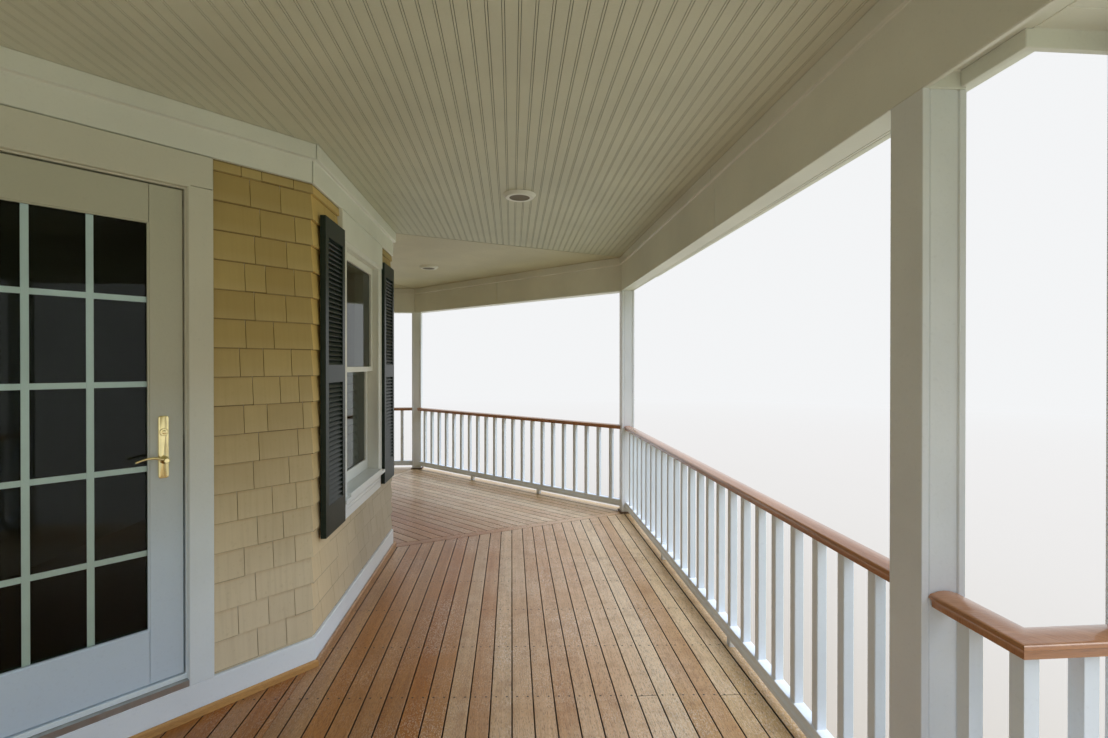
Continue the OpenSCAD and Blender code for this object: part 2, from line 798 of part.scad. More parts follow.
// The bottom rail's section, x across and y up, stepped in towards its top
module low_rail_section() {
    w = low_rail_w / 2;
    top_w = low_rail_top_w / 2;
    shoulder = low_rail_side_h + low_rail_slope_h;
    polygon([[-w, 0], [w, 0], [w, low_rail_side_h], [top_w, shoulder], [top_w, low_rail_h],
        [-top_w, low_rail_h], [-top_w, shoulder], [-w, low_rail_side_h]]);
}

module low_run(length) translate([0, 0, deck_z + low_rail_z]) rotate([90, 0, 180])
    linear_extrude(height = length) low_rail_section();

// A run of bars and a bottom rail from y = 0 to y = length on the line x = 0
module panel(length, feet = true) {
    count = max(1, round(length / baluster_pitch) - 1);
    step = (length + baluster_w) / (count + 1);
    low_run(length);
    translate([0, 0, deck_z]) {
        for (i = [1 : count])
            box(-baluster_w / 2, baluster_w / 2, i * step - baluster_w, i * step,
                low_rail_z + low_rail_h, rail_h);
        if (feet) for (f = [1 / 3, 2 / 3])
            box(-foot_w / 2, foot_w / 2, f * length - foot_w / 2, f * length + foot_w / 2,
                0, low_rail_z);
    }
}

// The handrail's section, x across and y up: a band, a cove, a round nose and a low crown
band_share = 0.78;
band_h_share = 0.24;
nose_share = 0.58;
crown_share = 0.86;
crown_w_share = 0.72;

module rail_section() {
    w = rail_w / 2;
    band = w * band_share;
    nose = rail_t * nose_share;
    half_shape = concat(
        [[0, 0], [band, 0], [band, rail_t * band_h_share]],
        [for (a = [15 : 15 : 75]) [w - (w - band) * cos(a),
            nose - (nose - rail_t * band_h_share) * (1 - sin(a))]],
        [for (a = [0 : 15 : 75]) [w * crown_w_share + w * (1 - crown_w_share) * cos(a),
            nose + rail_t * (crown_share - nose_share) * sin(a)]],
        [[w * crown_w_share, rail_t * crown_share], [w * 0.4, rail_t * 0.97], [0, rail_t]]);
    polygon(half_shape);
    mirror([1, 0]) polygon(half_shape);
}

module rail_run(length) translate([0, 0, deck_z + rail_h]) rotate([90, 0, 180])
    linear_extrude(height = length) rail_section();

ne_half = post_line * tan(half);
corner_cut = post_w * 0.4;
east_len = ne_half + entry_post_y - post_w;
side_len = 2 * ne_half - 2 * corner_cut;
north_len = ne_half - post_w;

module east_run() translate([post_line, -entry_post_y + post_w / 2, 0]) children();
module ne_run() on_side(1, post_line) translate([0, -side_len / 2, 0]) children();
module north_run() translate([post_w / 2, post_line, 0]) rotate([0, 0, -90]) children();
module south_run_far() translate([post_w / 2, -post_line, 0]) rotate([0, 0, -90]) children();
module south_run_near() translate([entry_post_y + post_w / 2, -post_line, 0])
    rotate([0, 0, -90]) children();
south_far_len = entry_post_y - post_w;
south_near_len = entry_x - entry_post_y - post_w;

module railing_east() color("white") placed() east_run() panel(east_len);
// The room that the axis-square posts take at the ends of a slanting run
module clear_of_posts() difference() {
    children();
    for (p = [corner(post_line, 0), corner(post_line, 1)])
        translate([p[0], p[1], deck_z + beam_h / 2])
            cube([post_w, post_w, beam_h], center = true);
}

module railing_northeast() color("white") placed() clear_of_posts() ne_run() panel(side_len);
module railing_north() color("white") placed() north_run() panel(north_len);
module railing_south() color("white") placed() {
    south_run_far() panel(south_far_len);
    south_run_near() panel(south_near_len);
}

entry_leg = entry_post_gap - post_w / 2;
entry_arm = entry_out - post_w / 2;
corner_pitch = 148;

// Two runs that meet in a mitre at the entry: the first goes north, the second east
module mitred(w) {
    intersection() {
        translate([post_line, -entry_y - w, 0]) children(0);
        translate([post_line, -entry_y, 0])
            prism([[0, 0], [-big, -big], [-big, big], [big, big]], 0, big);
    }
    intersection() {
        translate([post_line - w, -entry_y, 0]) rotate([0, 0, -90]) children(1);
        translate([post_line, -entry_y, 0])
            prism([[0, 0], [-big, -big], [big, -big], [big, big]], 0, big);
    }
}

module railing_entry() color("white") placed() {
    b = baluster_w / 2;
    mitred(low_rail_w) {
        low_run(entry_leg + low_rail_w);
        low_run(entry_arm + low_rail_w);
    }
    for (p = [[0, 0], [0, corner_pitch], [corner_pitch, 0]])
        box(post_line + p[0] - b, post_line + p[0] + b, -entry_y + p[1] - b, -entry_y + p[1] + b,
            deck_z + low_rail_z + low_rail_h, deck_z + rail_h);
}

// Handrails, the short one at the entry mitred at its corner
module handrails() color("saddlebrown") placed() {
    east_run() rail_run(east_len);
    clear_of_posts() ne_run() rail_run(side_len);
    north_run() rail_run(north_len);
    south_run_far() rail_run(south_far_len);
    south_run_near() rail_run(south_near_len);
    mitred(rail_w) {
        rail_run(entry_leg + rail_w);
        rail_run(entry_arm + rail_w);
    }
}

foundation();
piers();
house_wall();
north_wall();
northeast_wall();
window_wall();
door_wall_right();
door_wall_left();
door_wall_head();
south_wall();
house_floor();
upper_floor();
wall_trim();
door_frame();
door_sill();
door_leaf();
door_glass();
door_handle();
door_hinges();
window_frame();
window_sashes();
window_glass();
window_blind();
shutters();
posts();
post_bases();
deck_frame();
deck_east();
deck_northeast();
beam_east();
beam_northeast();
beam_north();
beam_south();
entry_header();
ceiling_east();
ceiling_northeast();
ceiling_lights();
roof_east();
roof_south();
roof_northeast();
eaves();
railing_entry();
railing_east();
railing_northeast();
railing_north();
railing_south();
handrails();
step_treads();
step_stringers();
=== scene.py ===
import random
import bpy
import bmesh
from math import atan, atan2, ceil, copysign, cos, floor, pi, radians, sin, sqrt, tan
from mathutils import Matrix, Vector


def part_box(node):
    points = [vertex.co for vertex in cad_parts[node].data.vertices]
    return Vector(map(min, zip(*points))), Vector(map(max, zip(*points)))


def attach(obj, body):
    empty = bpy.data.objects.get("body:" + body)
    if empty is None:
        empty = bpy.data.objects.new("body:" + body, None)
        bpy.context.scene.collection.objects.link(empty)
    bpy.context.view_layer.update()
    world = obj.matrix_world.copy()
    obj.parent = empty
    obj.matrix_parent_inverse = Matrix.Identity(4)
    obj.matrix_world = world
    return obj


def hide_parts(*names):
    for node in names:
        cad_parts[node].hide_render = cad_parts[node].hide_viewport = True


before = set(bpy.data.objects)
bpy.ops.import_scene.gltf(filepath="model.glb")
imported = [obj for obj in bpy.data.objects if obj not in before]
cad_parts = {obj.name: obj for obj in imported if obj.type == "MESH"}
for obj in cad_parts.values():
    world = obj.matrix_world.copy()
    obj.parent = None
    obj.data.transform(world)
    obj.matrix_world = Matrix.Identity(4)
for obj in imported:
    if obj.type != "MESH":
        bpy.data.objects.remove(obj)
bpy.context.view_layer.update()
random.seed(11)
print("porch frame loaded")

# metres, measured from the middle of the bay; shift moves them to the frame's origin
plan = {"shift": -2.055, "half": radians(22.5), "turn": radians(45), "bay": 2.155, "postLine": 4.33,
    "beamIn": 4.2665, "beamOut": 4.3935, "deckEdge": 4.4295, "entryLine": 4.67, "entryEdge": 4.7695,
    "entryNorth": -2.4405, "deckTop": 0.6, "skirtTop": 0.739, "friezeLow": 3.0, "friezeTop": 3.1,
    "ceiling": 3.19, "roofLow": 3.235, "roofPitch": radians(18.5), "roofThick": 0.06, "roofStart": 1.53,
    "eave": 4.6935, "entryEave": 5.0335, "bumpNorth": -2.397, "wallTop": 4.3984, "wallEnd": 4.7895,
    "doorShift": -0.046}
bay, deckTop = plan["bay"], plan["deckTop"]
halfTan, halfCos = tan(plan["half"]), cos(plan["half"])
wallHalf = bay * halfTan  # half the length of one side of the bay
slantEnd = round(bay + wallHalf, 4)  # where the line of the slanting side meets the axes


def move(x, y, z):
    return Matrix.Translation((x, y, z))


def spin(angle, axis="Z"):
    return Matrix.Rotation(angle, 4, axis)


middle, quarter = move(plan["shift"], 0, 0), spin(radians(90))


def sideFrame(side, reach=0.0):  # x out of one side of the bay, y along it
    return middle @ spin(plan["turn"] * side) @ move(reach, 0, 0)


# ---- materials

def addNode(kind, inputs=None, tree=None, **settings):  # made in the tree of its inputs, or in the one given
    tree = tree or next(v.id_data for v in inputs.values() if isinstance(v, bpy.types.NodeSocket))
    made = tree.nodes.new("ShaderNode" + kind)
    for key, value in settings.items():
        setattr(made, key, value)
    for key, value in (inputs or {}).items():
        if isinstance(value, bpy.types.NodeSocket):
            tree.links.new(value, made.inputs[key])
        else:
            made.inputs[key].default_value = value
    return made


def newMaterial(name, roughness, **sockets):
    made = bpy.data.materials.new(name)
    made.use_nodes = True
    shader = made.node_tree.nodes["Principled BSDF"]
    for key, value in {"Roughness": roughness, **sockets}.items():
        shader.inputs[key.replace("_", " ")].default_value = value
    return made, made.node_tree, shader


def shade(colour, by=1.0):
    return tuple(c * by for c in colour[:3]) + (1.0,)


def mix(share, first, second, kind="MIX"):
    first, second = (c if isinstance(c, bpy.types.NodeSocket) else shade(c) for c in (first, second))
    return addNode("Mix", {0: share, 6: first, 7: second}, data_type="RGBA", blend_type=kind).outputs[2]


def remap(value, low, high, toLow=0.0, toHigh=1.0):
    return addNode("MapRange", {0: value, 1: low, 2: high, 3: toLow, 4: toHigh}).outputs[0]


def maths(kind, *values):
    return addNode("Math", dict(enumerate(values)), operation=kind).outputs[0]


def layers(body, *coats):  # each brings its colour in where its value passes through its span
    for value, span, colour, *kind in coats:
        body = mix(remap(value, *span), body, colour, *kind)
    return body


def coordinate(tree, kind="Object"):
    return addNode("TexCoord", tree=tree).outputs[kind]


def split(where):  # x, y and z
    return addNode("SeparateXYZ", {0: where}).outputs


def noise(where, scale, detail):
    return addNode("TexNoise", {"Vector": where, "Scale": scale, "Detail": detail}).outputs["Fac"]


def objectNoise(tree, scale, detail):
    return noise(coordinate(tree), scale, detail)


def finishMaterial(made, shader, body, height=None, distance=0.0):  # its colour and its fine relief
    tree = made.node_tree
    tree.links.new(body, shader.inputs["Base Color"])
    if height is not None:
        bump = addNode("Bump", {"Height": height, "Distance": distance})
        tree.links.new(bump.outputs[0], shader.inputs["Normal"])
    return made


def paintFinish(name, colour, roughness=0.42, wear=0.08, gloss=0.5, groove=None, lightTint=None, lightSpans=()):
    made, tree, shader = newMaterial(name, roughness, Specular_IOR_Level=gloss)
    fine, spot = objectNoise(tree, 90, 3), split(coordinate(tree))
    body = layers(shade(colour, 1 - wear),
                  (objectNoise(tree, 1.7, 4), (0.35, 0.65), shade(colour, 1 + wear * 0.4)),
                  (fine, (0.58, 0.75, 0, 0.25), shade(colour, 0.8)))
    if groove:  # painted shade darkens whatever lies above this height, down in the grooves
        body = layers(body, (spot[2], (groove + 0.0006, groove + 0.004, 0, 0.95), (0.075, 0.055, 0.03)))
    if lightTint:  # painted light and shade: each span names an axis, where the tint is whole and where it is gone
        share = 1.0
        for axis, whole, gone in lightSpans:
            share = maths("MULTIPLY", share, remap(spot[axis], whole, gone, 1, 0))
        body = mix(share, body, lightTint, "MULTIPLY")
    return finishMaterial(made, shader, body, fine, 0.0004)


def grainPlaces(tree):  # along the board, across it, and one number for each board
    grain, tone = (split(addNode("UVMap", tree=tree, uv_map=name).outputs[0])
                   for name in ("grain", "tone"))
    return grain[0], grain[1], tone[0]


def grainNoise(grain, alongScale, acrossScale, detail, seed=0.0):
    along, across, tone = grain
    spot = addNode("CombineXYZ", {
        0: maths("MULTIPLY", along, alongScale), 1: maths("MULTIPLY", across, acrossScale),
        2: maths("MULTIPLY_ADD", tone, 23.0, seed)})
    return noise(spot.outputs[0], 1.0, detail)


def reachOut(tree):  # how far out from the bay a point of the floor lies
    x, y, z = split(coordinate(tree))
    x = maths("SUBTRACT", x, plan["shift"])
    slanting = maths("MULTIPLY", maths("ADD", x, y), sqrt(0.5))
    return maths("MAXIMUM", maths("MAXIMUM", x, maths("ABSOLUTE", y)), slanting)


def woodFinish(name, pale, mid, dark, roughness, coat=0.0, pore=(55, 420, 0.42), nails=None, weatherAndLight=None):
    made, tree, shader = newMaterial(name, roughness, Coat_Weight=coat)
    along, across, tone = grain = grainPlaces(tree)
    streaks, cloud, pores, fibre = (grainNoise(grain, *kind) for kind in (
        (0.9, 30, 4), (1.6, 3.0, 3, 7.0), (*pore[:2], 2, 3.0), (5, 150, 3, 5.0)))
    body = layers(mid, (streaks, (0.25, 0.75), pale), (cloud, (0.42, 0.75, 0, 0.4), dark))
    if weatherAndLight:  # partly weathering, partly painted light of sky and sheen: paler towards the open edge, in patches
        reach = reachOut(tree)
        wornAndLit = maths("ADD", reach, remap(cloud, 0.3, 0.7, -0.2, 0.2))
        outer = layers(shade(weatherAndLight["colour"], 0.88), (streaks, (0.3, 0.7), weatherAndLight["colour"]))
        body = layers(body, (wornAndLit, (weatherAndLight["from"], weatherAndLight["to"], 0, weatherAndLight["most"]), outer),
                      (wornAndLit, (weatherAndLight["to"] + 0.15, weatherAndLight["to"] + 0.65, 0, 0.8), weatherAndLight["edge"]))
    body = layers(body, (pores, (0.54, 0.66, 0, pore[2]), dark),
                  (pores, (0.44, 0.34, 0, pore[2] * 0.5), shade(pale, 1.35)),
                  (fibre, (0.48, 0.72, 0, 0.38), shade(mid, 0.85)))
    body = addNode("HueSaturation", {
        "Hue": remap(tone, 0, 1, 0.491, 0.506), "Saturation": remap(tone, 0, 1, 1.16, 0.92),
        "Value": remap(tone, 0, 1, 0.88, 1.1), "Color": body}).outputs[0]
    if weatherAndLight:  # worn specks in loose patches, fewer towards the wall, which partly paints the shade there
        patch = maths("MULTIPLY", remap(objectNoise(tree, 2.6, 3), 0.40, 0.58, 0.2, 1),
                      remap(reach, 2.3, 3.2, 0.35, 1))
        specks = remap(grainNoise(grain, 90, 230, 2, 11.0), 0.52, 0.62, 0, 0.52)
        body = mix(maths("MULTIPLY", specks, patch), body, weatherAndLight["speck"])
        body = layers(body, (objectNoise(tree, 11, 4), (0.5, 0.68, 0, 0.3), shade(mid, 0.9)))
    if nails:
        skew = maths("MULTIPLY_ADD", split(coordinate(tree))[0], nails["skew"], nails["start"])
        du = maths("PINGPONG", maths("ADD", along, skew), nails["joist"] / 2)
        dv = maths("SUBTRACT", maths("ABSOLUTE", across), nails["inset"])
        far = maths("SQRT", maths("ADD", maths("POWER", du, 2), maths("POWER", dv, 2)))
        body = layers(body, (far, (nails["size"] * 0.7, nails["size"], 1, 0), nails["colour"]))
    if weatherAndLight:  # painted shade in the gaps: the boards' sides darken below the top
        body = layers(body, (split(coordinate(tree))[2], (deckTop - 0.0004, deckTop - 0.0022), weatherAndLight["gapShade"]))
    tree.links.new(remap(streaks, 0.2, 0.8, roughness + 0.08, roughness - 0.06), shader.inputs["Roughness"])
    return finishMaterial(made, shader, body, pores, 0.0006)


def shingleFinish(name, pale, mid, low, corner=None):
    made, tree, shader = newMaterial(name, 0.62)
    along, across, tone = grain = grainPlaces(tree)
    x, y, z = split(coordinate(tree))
    streaks = grainNoise(grain, 3, 60, 3)
    upper = layers(mid, (tone, (0, 1), pale))
    # paler towards the bottom of the wall: partly bleaching, partly painted sky light
    body = layers(shade(low, 0.92), (tone, (0, 1), low), (z, (1.1, 2.2), upper),
                  (along, (0.05, 0, 0, 0.1), shade(low, 1.05)),
                  (streaks, (0.45, 0.8, 0, 0.16), shade(mid, 0.8)),
                  (objectNoise(tree, 2.3, 3), (0.4, 0.7, 0, 0.16), shade(mid, 0.74)),
                  (objectNoise(tree, 60, 3), (0.6, 0.75, 0, 0.2), shade(pale, 0.84)))
    if corner:  # painted light: paler beside the corner that faces the entry
        body = layers(body, (y, (-0.9, 0.0, 1, 0), corner, "MULTIPLY"))
    course, frieze = wallShingles["course"], plan["friezeLow"]
    shadow = maths("MAXIMUM", remap(along, course - 0.0052, course - 0.0028),
                   remap(along, 0.0012, 0.0002, 0, 0.6))
    under = maths("MULTIPLY", remap(z, frieze - 0.008, frieze - 0.004),
                  remap(z, plan["friezeTop"], plan["friezeTop"] - 0.01))
    shadow = maths("MULTIPLY", maths("MAXIMUM", shadow, under), 0.72)
    return finishMaterial(made, shader, mix(shadow, body, shade(mid, 0.22)), streaks, 0.0005)


def roofFinish(name, pale, dark):
    made, tree, shader = newMaterial(name, 0.85)
    grit = objectNoise(tree, 420, 2)
    body = layers(dark, (grainPlaces(tree)[2], (0, 1), pale), (grit, (0.35, 0.65, 0, 0.8), shade(pale, 1.5)),
                  (objectNoise(tree, 5, 3), (0.4, 0.7, 0, 0.3), shade(dark, 0.6)))
    return finishMaterial(made, shader, body, grit, 0.0012)


def stoneFinish(name, colour):
    made, tree, shader = newMaterial(name, 0.9)
    grit = objectNoise(tree, 140, 3)
    body = layers(shade(colour, 0.86), (objectNoise(tree, 2.5, 5), (0.35, 0.65), shade(colour, 1.08)),
                  (grit, (0.55, 0.7, 0, 0.5), shade(colour, 0.6)))
    return finishMaterial(made, shader, body, grit, 0.002)


def metalFinish(name, colour, roughness, wear=0.12, metallic=1.0):
    made, tree, shader = newMaterial(name, roughness, Metallic=metallic)
    smear = objectNoise(tree, 24, 4)
    tree.links.new(remap(smear, 0.3, 0.7, roughness * 0.7, roughness * 1.4), shader.inputs["Roughness"])
    body = layers(colour, (smear, (0.35, 0.7), shade(colour, 1 - wear)))
    return finishMaterial(made, shader, body, objectNoise(tree, 260, 2), 0.00015)


def glassFinish(name, colour):
    made, tree, shader = newMaterial(name, 0.01, Transmission_Weight=1.0, IOR=1.18)
    body = layers(colour, (objectNoise(tree, 3, 2), (0.4, 0.6), shade(colour, 0.95)))
    return finishMaterial(made, shader, body)


wallShingles = {"butt": 0.0165, "top": 0.003, "course": 0.1295, "start": 0.7525, "gap": 0.003, "narrow": 0.085,
    "wide": 0.27, "lap": 0.006, "wobble": (-0.0035, 0.0015), "apart": 0.03, "doorSide": 0.44, "before": 0.2}
nailRows = {"joist": 0.44, "inset": 0.024, "size": 0.0055, "skew": 0.06, "start": -0.151,
    "colour": (0.03, 0.02, 0.014)}
# the deck pales towards the open edge: partly weathering, partly painted light of sky and sheen
deckWearAndLight = {"from": 2.75, "to": 3.7, "most": 0.88, "colour": (0.90, 0.67, 0.43), "edge": (0.52, 0.30, 0.085),
    "speck": (0.90, 0.79, 0.66), "gapShade": (0.022, 0.012, 0.007)}
finish = {
    # painted sky light: the trim's tint makes it paler and bluer low down and towards the entry
    "trim": paintFinish("trimPaint", (0.795, 0.78, 0.70), lightTint=(1.17, 1.27, 1.44),
        lightSpans=((2, 1.3, 2.05), (1, -0.9, 0.3))),
    # casing and door leaf: the trim's white made darker and warmer for painted shade under the roof, their low
    # tints painted sky light
    "casing": paintFinish("casingPaint", (0.68, 0.645, 0.535), lightTint=(1.34, 1.53, 1.86), lightSpans=((2, 1.35, 2.1),)),
    # painted shade: the ceiling's tint darkens and warms it towards the north
    "ceiling": paintFinish("ceilingPaint", (0.75, 0.725, 0.61), 0.5, groove=plan["ceiling"],
        lightTint=(0.72, 0.73, 0.62), lightSpans=((1, 0.6, -2.8),)),
    "farCeiling": paintFinish("ceilingPaintShaded", (0.60, 0.55, 0.375), 0.5, groove=plan["ceiling"]),
    # bluish white: painted sky light on white paint
    "rail": paintFinish("railPaint", (0.83, 0.88, 0.93), 0.38),
    "post": paintFinish("postPaint", (0.80, 0.81, 0.82)),
    # the door leaf: darker base for painted shade, low tint for painted sky light
    "leaf": paintFinish("doorPaint", (0.54, 0.52, 0.41), 0.34, 0.04, lightTint=(1.3, 1.57, 2.2),
        lightSpans=((2, 1.3, 2.05),)),
    "bars": paintFinish("barPaint", (0.72, 0.88, 0.80), 0.4, 0.04),
    "shutter": paintFinish("shutterPaint", (0.018, 0.029, 0.02), 0.4, 0.2, 0.2),
    "blind": paintFinish("blindWhite", (0.72, 0.73, 0.70), 0.5, 0.04),
    "plaster": paintFinish("wallPlaster", (0.66, 0.63, 0.56), 0.8),
    "lens": paintFinish("lampLens", (0.19, 0.16, 0.11), 0.6, 0.02, 0.15),
    "shingle": shingleFinish("stainedShingle", (0.52, 0.38, 0.14), (0.44, 0.31, 0.105), (0.82, 0.69, 0.46)),
    "sideShingle": shingleFinish("shadedShingle", (0.46, 0.33, 0.12), (0.39, 0.27, 0.09), (0.52, 0.43, 0.29),
        (1.7, 1.65, 1.5)),
    "deck": woodFinish("deckWood", (0.49, 0.245, 0.09), (0.36, 0.162, 0.056), (0.15, 0.062, 0.022), 0.34,
        pore=(42, 230, 0.5), nails=nailRows, weatherAndLight=deckWearAndLight),
    "shoe": woodFinish("stripWood", (0.62, 0.33, 0.09), (0.52, 0.25, 0.07), (0.33, 0.14, 0.04), 0.45),
    "border": woodFinish("borderWood", (0.66, 0.43, 0.25), (0.56, 0.34, 0.18), (0.32, 0.19, 0.10), 0.46),
    "handrail": woodFinish("varnishedWood", (0.55, 0.285, 0.135), (0.42, 0.19, 0.08), (0.17, 0.065, 0.025), 0.3,
        0.7, (30, 300, 0.3)),
    "frameWood": woodFinish("sawnWood", (0.62, 0.48, 0.30), (0.52, 0.38, 0.22), (0.34, 0.24, 0.13), 0.75),
    "roof": roofFinish("roofShingle", (0.17, 0.165, 0.16), (0.09, 0.088, 0.085)),
    "concrete": stoneFinish("castConcrete", (0.56, 0.55, 0.52)),
    "brass": metalFinish("polishedBrass", (0.92, 0.79, 0.40), 0.13),
    "sill": metalFinish("sillMetal", (0.50, 0.50, 0.49), 0.42),
    "shoeMetal": metalFinish("postShoe", (0.17, 0.11, 0.07), 0.5, 0.3, 0.4),
    "glass": glassFinish("paneGlass", (0.30, 0.36, 0.32)),
    "dark": glassFinish("shadedGlass", (0.17, 0.21, 0.13)),
    "clear": glassFinish("clearGlass", (0.93, 0.97, 0.95)),
}
print("finishes made")


# ---- shaping helpers

boardsOf = {}  # the boards of each piece in the making: a place and a tone for each


def newPiece():
    made = bmesh.new()
    made.faces.layers.int.new("board")
    boardsOf[made] = []
    return made


def facesOf(verts):
    return list(dict.fromkeys(f for v in verts for f in v.link_faces))


def edgesOf(verts):
    return list(dict.fromkeys(e for v in verts for e in v.link_edges))


def addBlock(piece, place, low, high, tone=None):  # one board, drawn in its own frame
    tag, boards = piece.faces.layers.int["board"], boardsOf[piece]
    centre = [(a + b) / 2 for a, b in zip(low, high)]
    size = [b - a for a, b in zip(low, high)]
    made = bmesh.ops.create_cube(piece, size=1, matrix=place @ move(*centre) @ Matrix.Diagonal((*size, 1)))["verts"]
    for face in facesOf(made):
        face[tag] = len(boards)
    boards.append((place.copy(), random.random() if tone is None else tone))
    return made


def moveLocal(verts, place, change):  # change takes and gives a point in the board's own frame
    back = place.inverted()
    for vert in verts:
        vert.co = place @ Vector(change(back @ vert.co))


def layGrain(piece, boards):
    tag = piece.faces.layers.int["board"]
    grain, tone = piece.loops.layers.uv.new("grain"), piece.loops.layers.uv.new("tone")
    backs = [place.inverted() for place, value in boards]
    piece.normal_update()
    for face in piece.faces:
        back = backs[face[tag]]
        facing = back.to_3x3() @ face.normal
        for loop in face.loops:
            spot = back @ loop.vert.co
            if abs(facing.x) > 0.8:  # the board's end
                loop[grain].uv = (spot.z * 0.3, spot.y)
            else:
                loop[grain].uv = (spot.x, spot.y if abs(facing.z) > 0.6 else spot.z + 0.07)
            loop[tone].uv = (boards[face[tag]][1], 0.5)


def bevel(piece, edges, offset, segments, clamp=False):
    bmesh.ops.bevel(piece, geom=edges, offset=offset, offset_type="OFFSET", segments=segments, profile=0.5,
                    affect="EDGES", clamp_overlap=clamp, material=-1)


def easeEdges(piece, offset, segments=1, wanted=lambda edge: True):
    bevel(piece, [e for e in piece.edges if len(e.link_faces) == 2 and e.calc_face_angle(0) > 0.5 and wanted(e)],
          offset, segments, True)


def finishPiece(name, piece, key, replaces=(), smooth=None, body="porch"):
    bmesh.ops.recalc_face_normals(piece, faces=piece.faces)
    if piece in boardsOf:
        layGrain(piece, boardsOf.pop(piece))
    if smooth is not None:
        for face in piece.faces:
            face.smooth = True
        for edge in piece.edges:
            edge.smooth = len(edge.link_faces) == 2 and edge.calc_face_angle(0) < smooth
    mesh = bpy.data.meshes.new(name)
    piece.to_mesh(mesh)
    piece.free()
    made = bpy.data.objects.new(name, mesh)
    bpy.context.scene.collection.objects.link(made)
    mesh.materials.append(finish[key])
    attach(made, body)
    if replaces:
        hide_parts(*replaces)


def sliced(piece, geom, point, facing, kind):  # cuts along a plane, and gives what lies on it
    made = bmesh.ops.bisect_plane(piece, geom=geom, dist=0.00001, plane_co=point, plane_no=facing)["geom_cut"]
    return [g for g in made if isinstance(g, kind)]


def nodePiece(node, cuts=()):  # a merged copy of a CAD node, its flat faces whole but for a seam at each cut
    piece = bmesh.new()
    piece.from_mesh(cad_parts[node].data)
    bmesh.ops.remove_doubles(piece, verts=piece.verts, dist=0.00002)
    for side, way, at in cuts:
        place = sideFrame(side)
        for edge in sliced(piece, piece.verts[:] + piece.edges[:] + piece.faces[:], place @ (way * at),
                           place.to_3x3() @ way, bmesh.types.BMEdge):
            edge.seam = True
    bmesh.ops.dissolve_limit(piece, angle_limit=radians(0.6), verts=piece.verts, edges=piece.edges,
                             delimit={"SEAM"})
    return piece


def islands(piece):
    left, groups = dict.fromkeys(piece.verts), []
    while left:
        stack, group = [left.popitem()[0]], []
        while stack:
            vert = stack.pop()
            group.append(vert)
            for edge in vert.link_edges:
                other = edge.other_vert(vert)
                if other in left:
                    del left[other]
                    stack.append(other)
        groups.append(group)
    return groups


def grainByIsland(piece):  # each loose solid becomes a board along its longest way
    tag, boards = piece.faces.layers.int.new("board"), []
    for group in islands(piece):
        centre = sum((v.co for v in group), Vector()) / len(group)
        sxx, syy, szz = (sum((v.co[i] - centre[i]) ** 2 for v in group) for i in range(3))
        sxy = sum((v.co.x - centre.x) * (v.co.y - centre.y) for v in group)
        turn = spin(0.5 * atan2(2 * sxy, sxx - syy))
        if szz > sxx + syy:
            turn = spin(radians(-90), "Y")
        for face in facesOf(group):
            face[tag] = len(boards)
        boards.append((move(*centre) @ turn, random.random()))
    boardsOf[piece] = boards


fineLine = (0.009, 0.0018)  # how deep and how wide to each side


def scoreLine(piece, side, run, at, inwards, xs, zs, deep=fineLine[0], wide=fineLine[1], ys=(-9, 9)):
    # a groove across run, in the faces whose middles lie in xs, ys and zs in the frame of one side of the bay
    place = sideFrame(side)
    back, push, across = place.inverted(), place.to_3x3() @ inwards, place.to_3x3() @ run
    for shift in (-wide, wide, 0):
        piece.normal_update()
        faces = [f for f in piece.faces if f.normal.dot(push) < -0.9
                 and all(a < c < b for (a, b), c in zip((xs, ys, zs), back @ f.calc_center_median()))]
        geom = list(dict.fromkeys(g for f in faces for g in (*f.verts, *f.edges, f)))
        made = sliced(piece, geom, place @ (run * at) + across * shift, across, bmesh.types.BMVert)
    for vert in made:
        vert.co += push * deep


# ---- porch floor

floorBoards = {"pitch": 0.0941, "gap": 0.0045, "thick": 0.026, "round": 0.0022, "border": 0.137, "joint": 0.0022,
    "grid": 3.064, "longest": 4.9, "least": 0.012, "slit": 0.0004, "seamHalf": 0.047,
    "seamGap": 0.004, "seamIn": 0.02, "seamOut": 0.016}
boardLow = deckTop - floorBoards["thick"]


def layRows(piece, base, rows, ends, joists=(), known=()):  # rows across x, boards along y
    for left, right in rows:
        low, high = min(ends(left)[0], ends(right)[0]), max(ends(left)[1], ends(right)[1])
        cuts = [low, high]
        if joists and high - low > floorBoards["longest"]:
            joist = [n for x, n in known if left < x < right] or [random.choice(joists)]
            cuts.append(-nailRows["start"] - nailRows["skew"] * (right + plan["shift"])
                        + joist[0] * nailRows["joist"])
        cuts.sort()
        centre, gap = (left + right) / 2, floorBoards["joint"] / 2
        place = base @ move(centre, 0, 0) @ quarter
        for start, stop in zip(cuts, cuts[1:]):
            made = addBlock(piece, place, (start + gap, left - centre, boardLow),
                            (stop - gap, right - centre, deckTop))

            def slant(p):
                if stop == cuts[-1] and p.x > (start + stop) / 2:
                    return (ends(centre - p.y)[1], p.y, p.z)
                if start == cuts[0] and p.x < (start + stop) / 2:
                    return (ends(centre - p.y)[0], p.y, p.z)
                return p
            moveLocal(made, place, slant)


def gridRows(start, stop, splits=()):  # rows on one grid of gaps, cut at the edges and at each split
    size, rows = floorBoards, []
    for n in range(floor((start - size["grid"]) / size["pitch"]), ceil((stop - size["grid"]) / size["pitch"])):
        low = size["grid"] + n * size["pitch"] + size["gap"] / 2
        high = low + size["pitch"] - size["gap"]
        marks = [max(low, start)] + [m for m in splits if low < m < high and start < m < stop] + [min(high, stop)]
        if marks[-1] - marks[0] > size["least"]:
            rows += [(a + size["slit"], b - size["slit"]) for a, b in zip(marks, marks[1:])]
    return rows


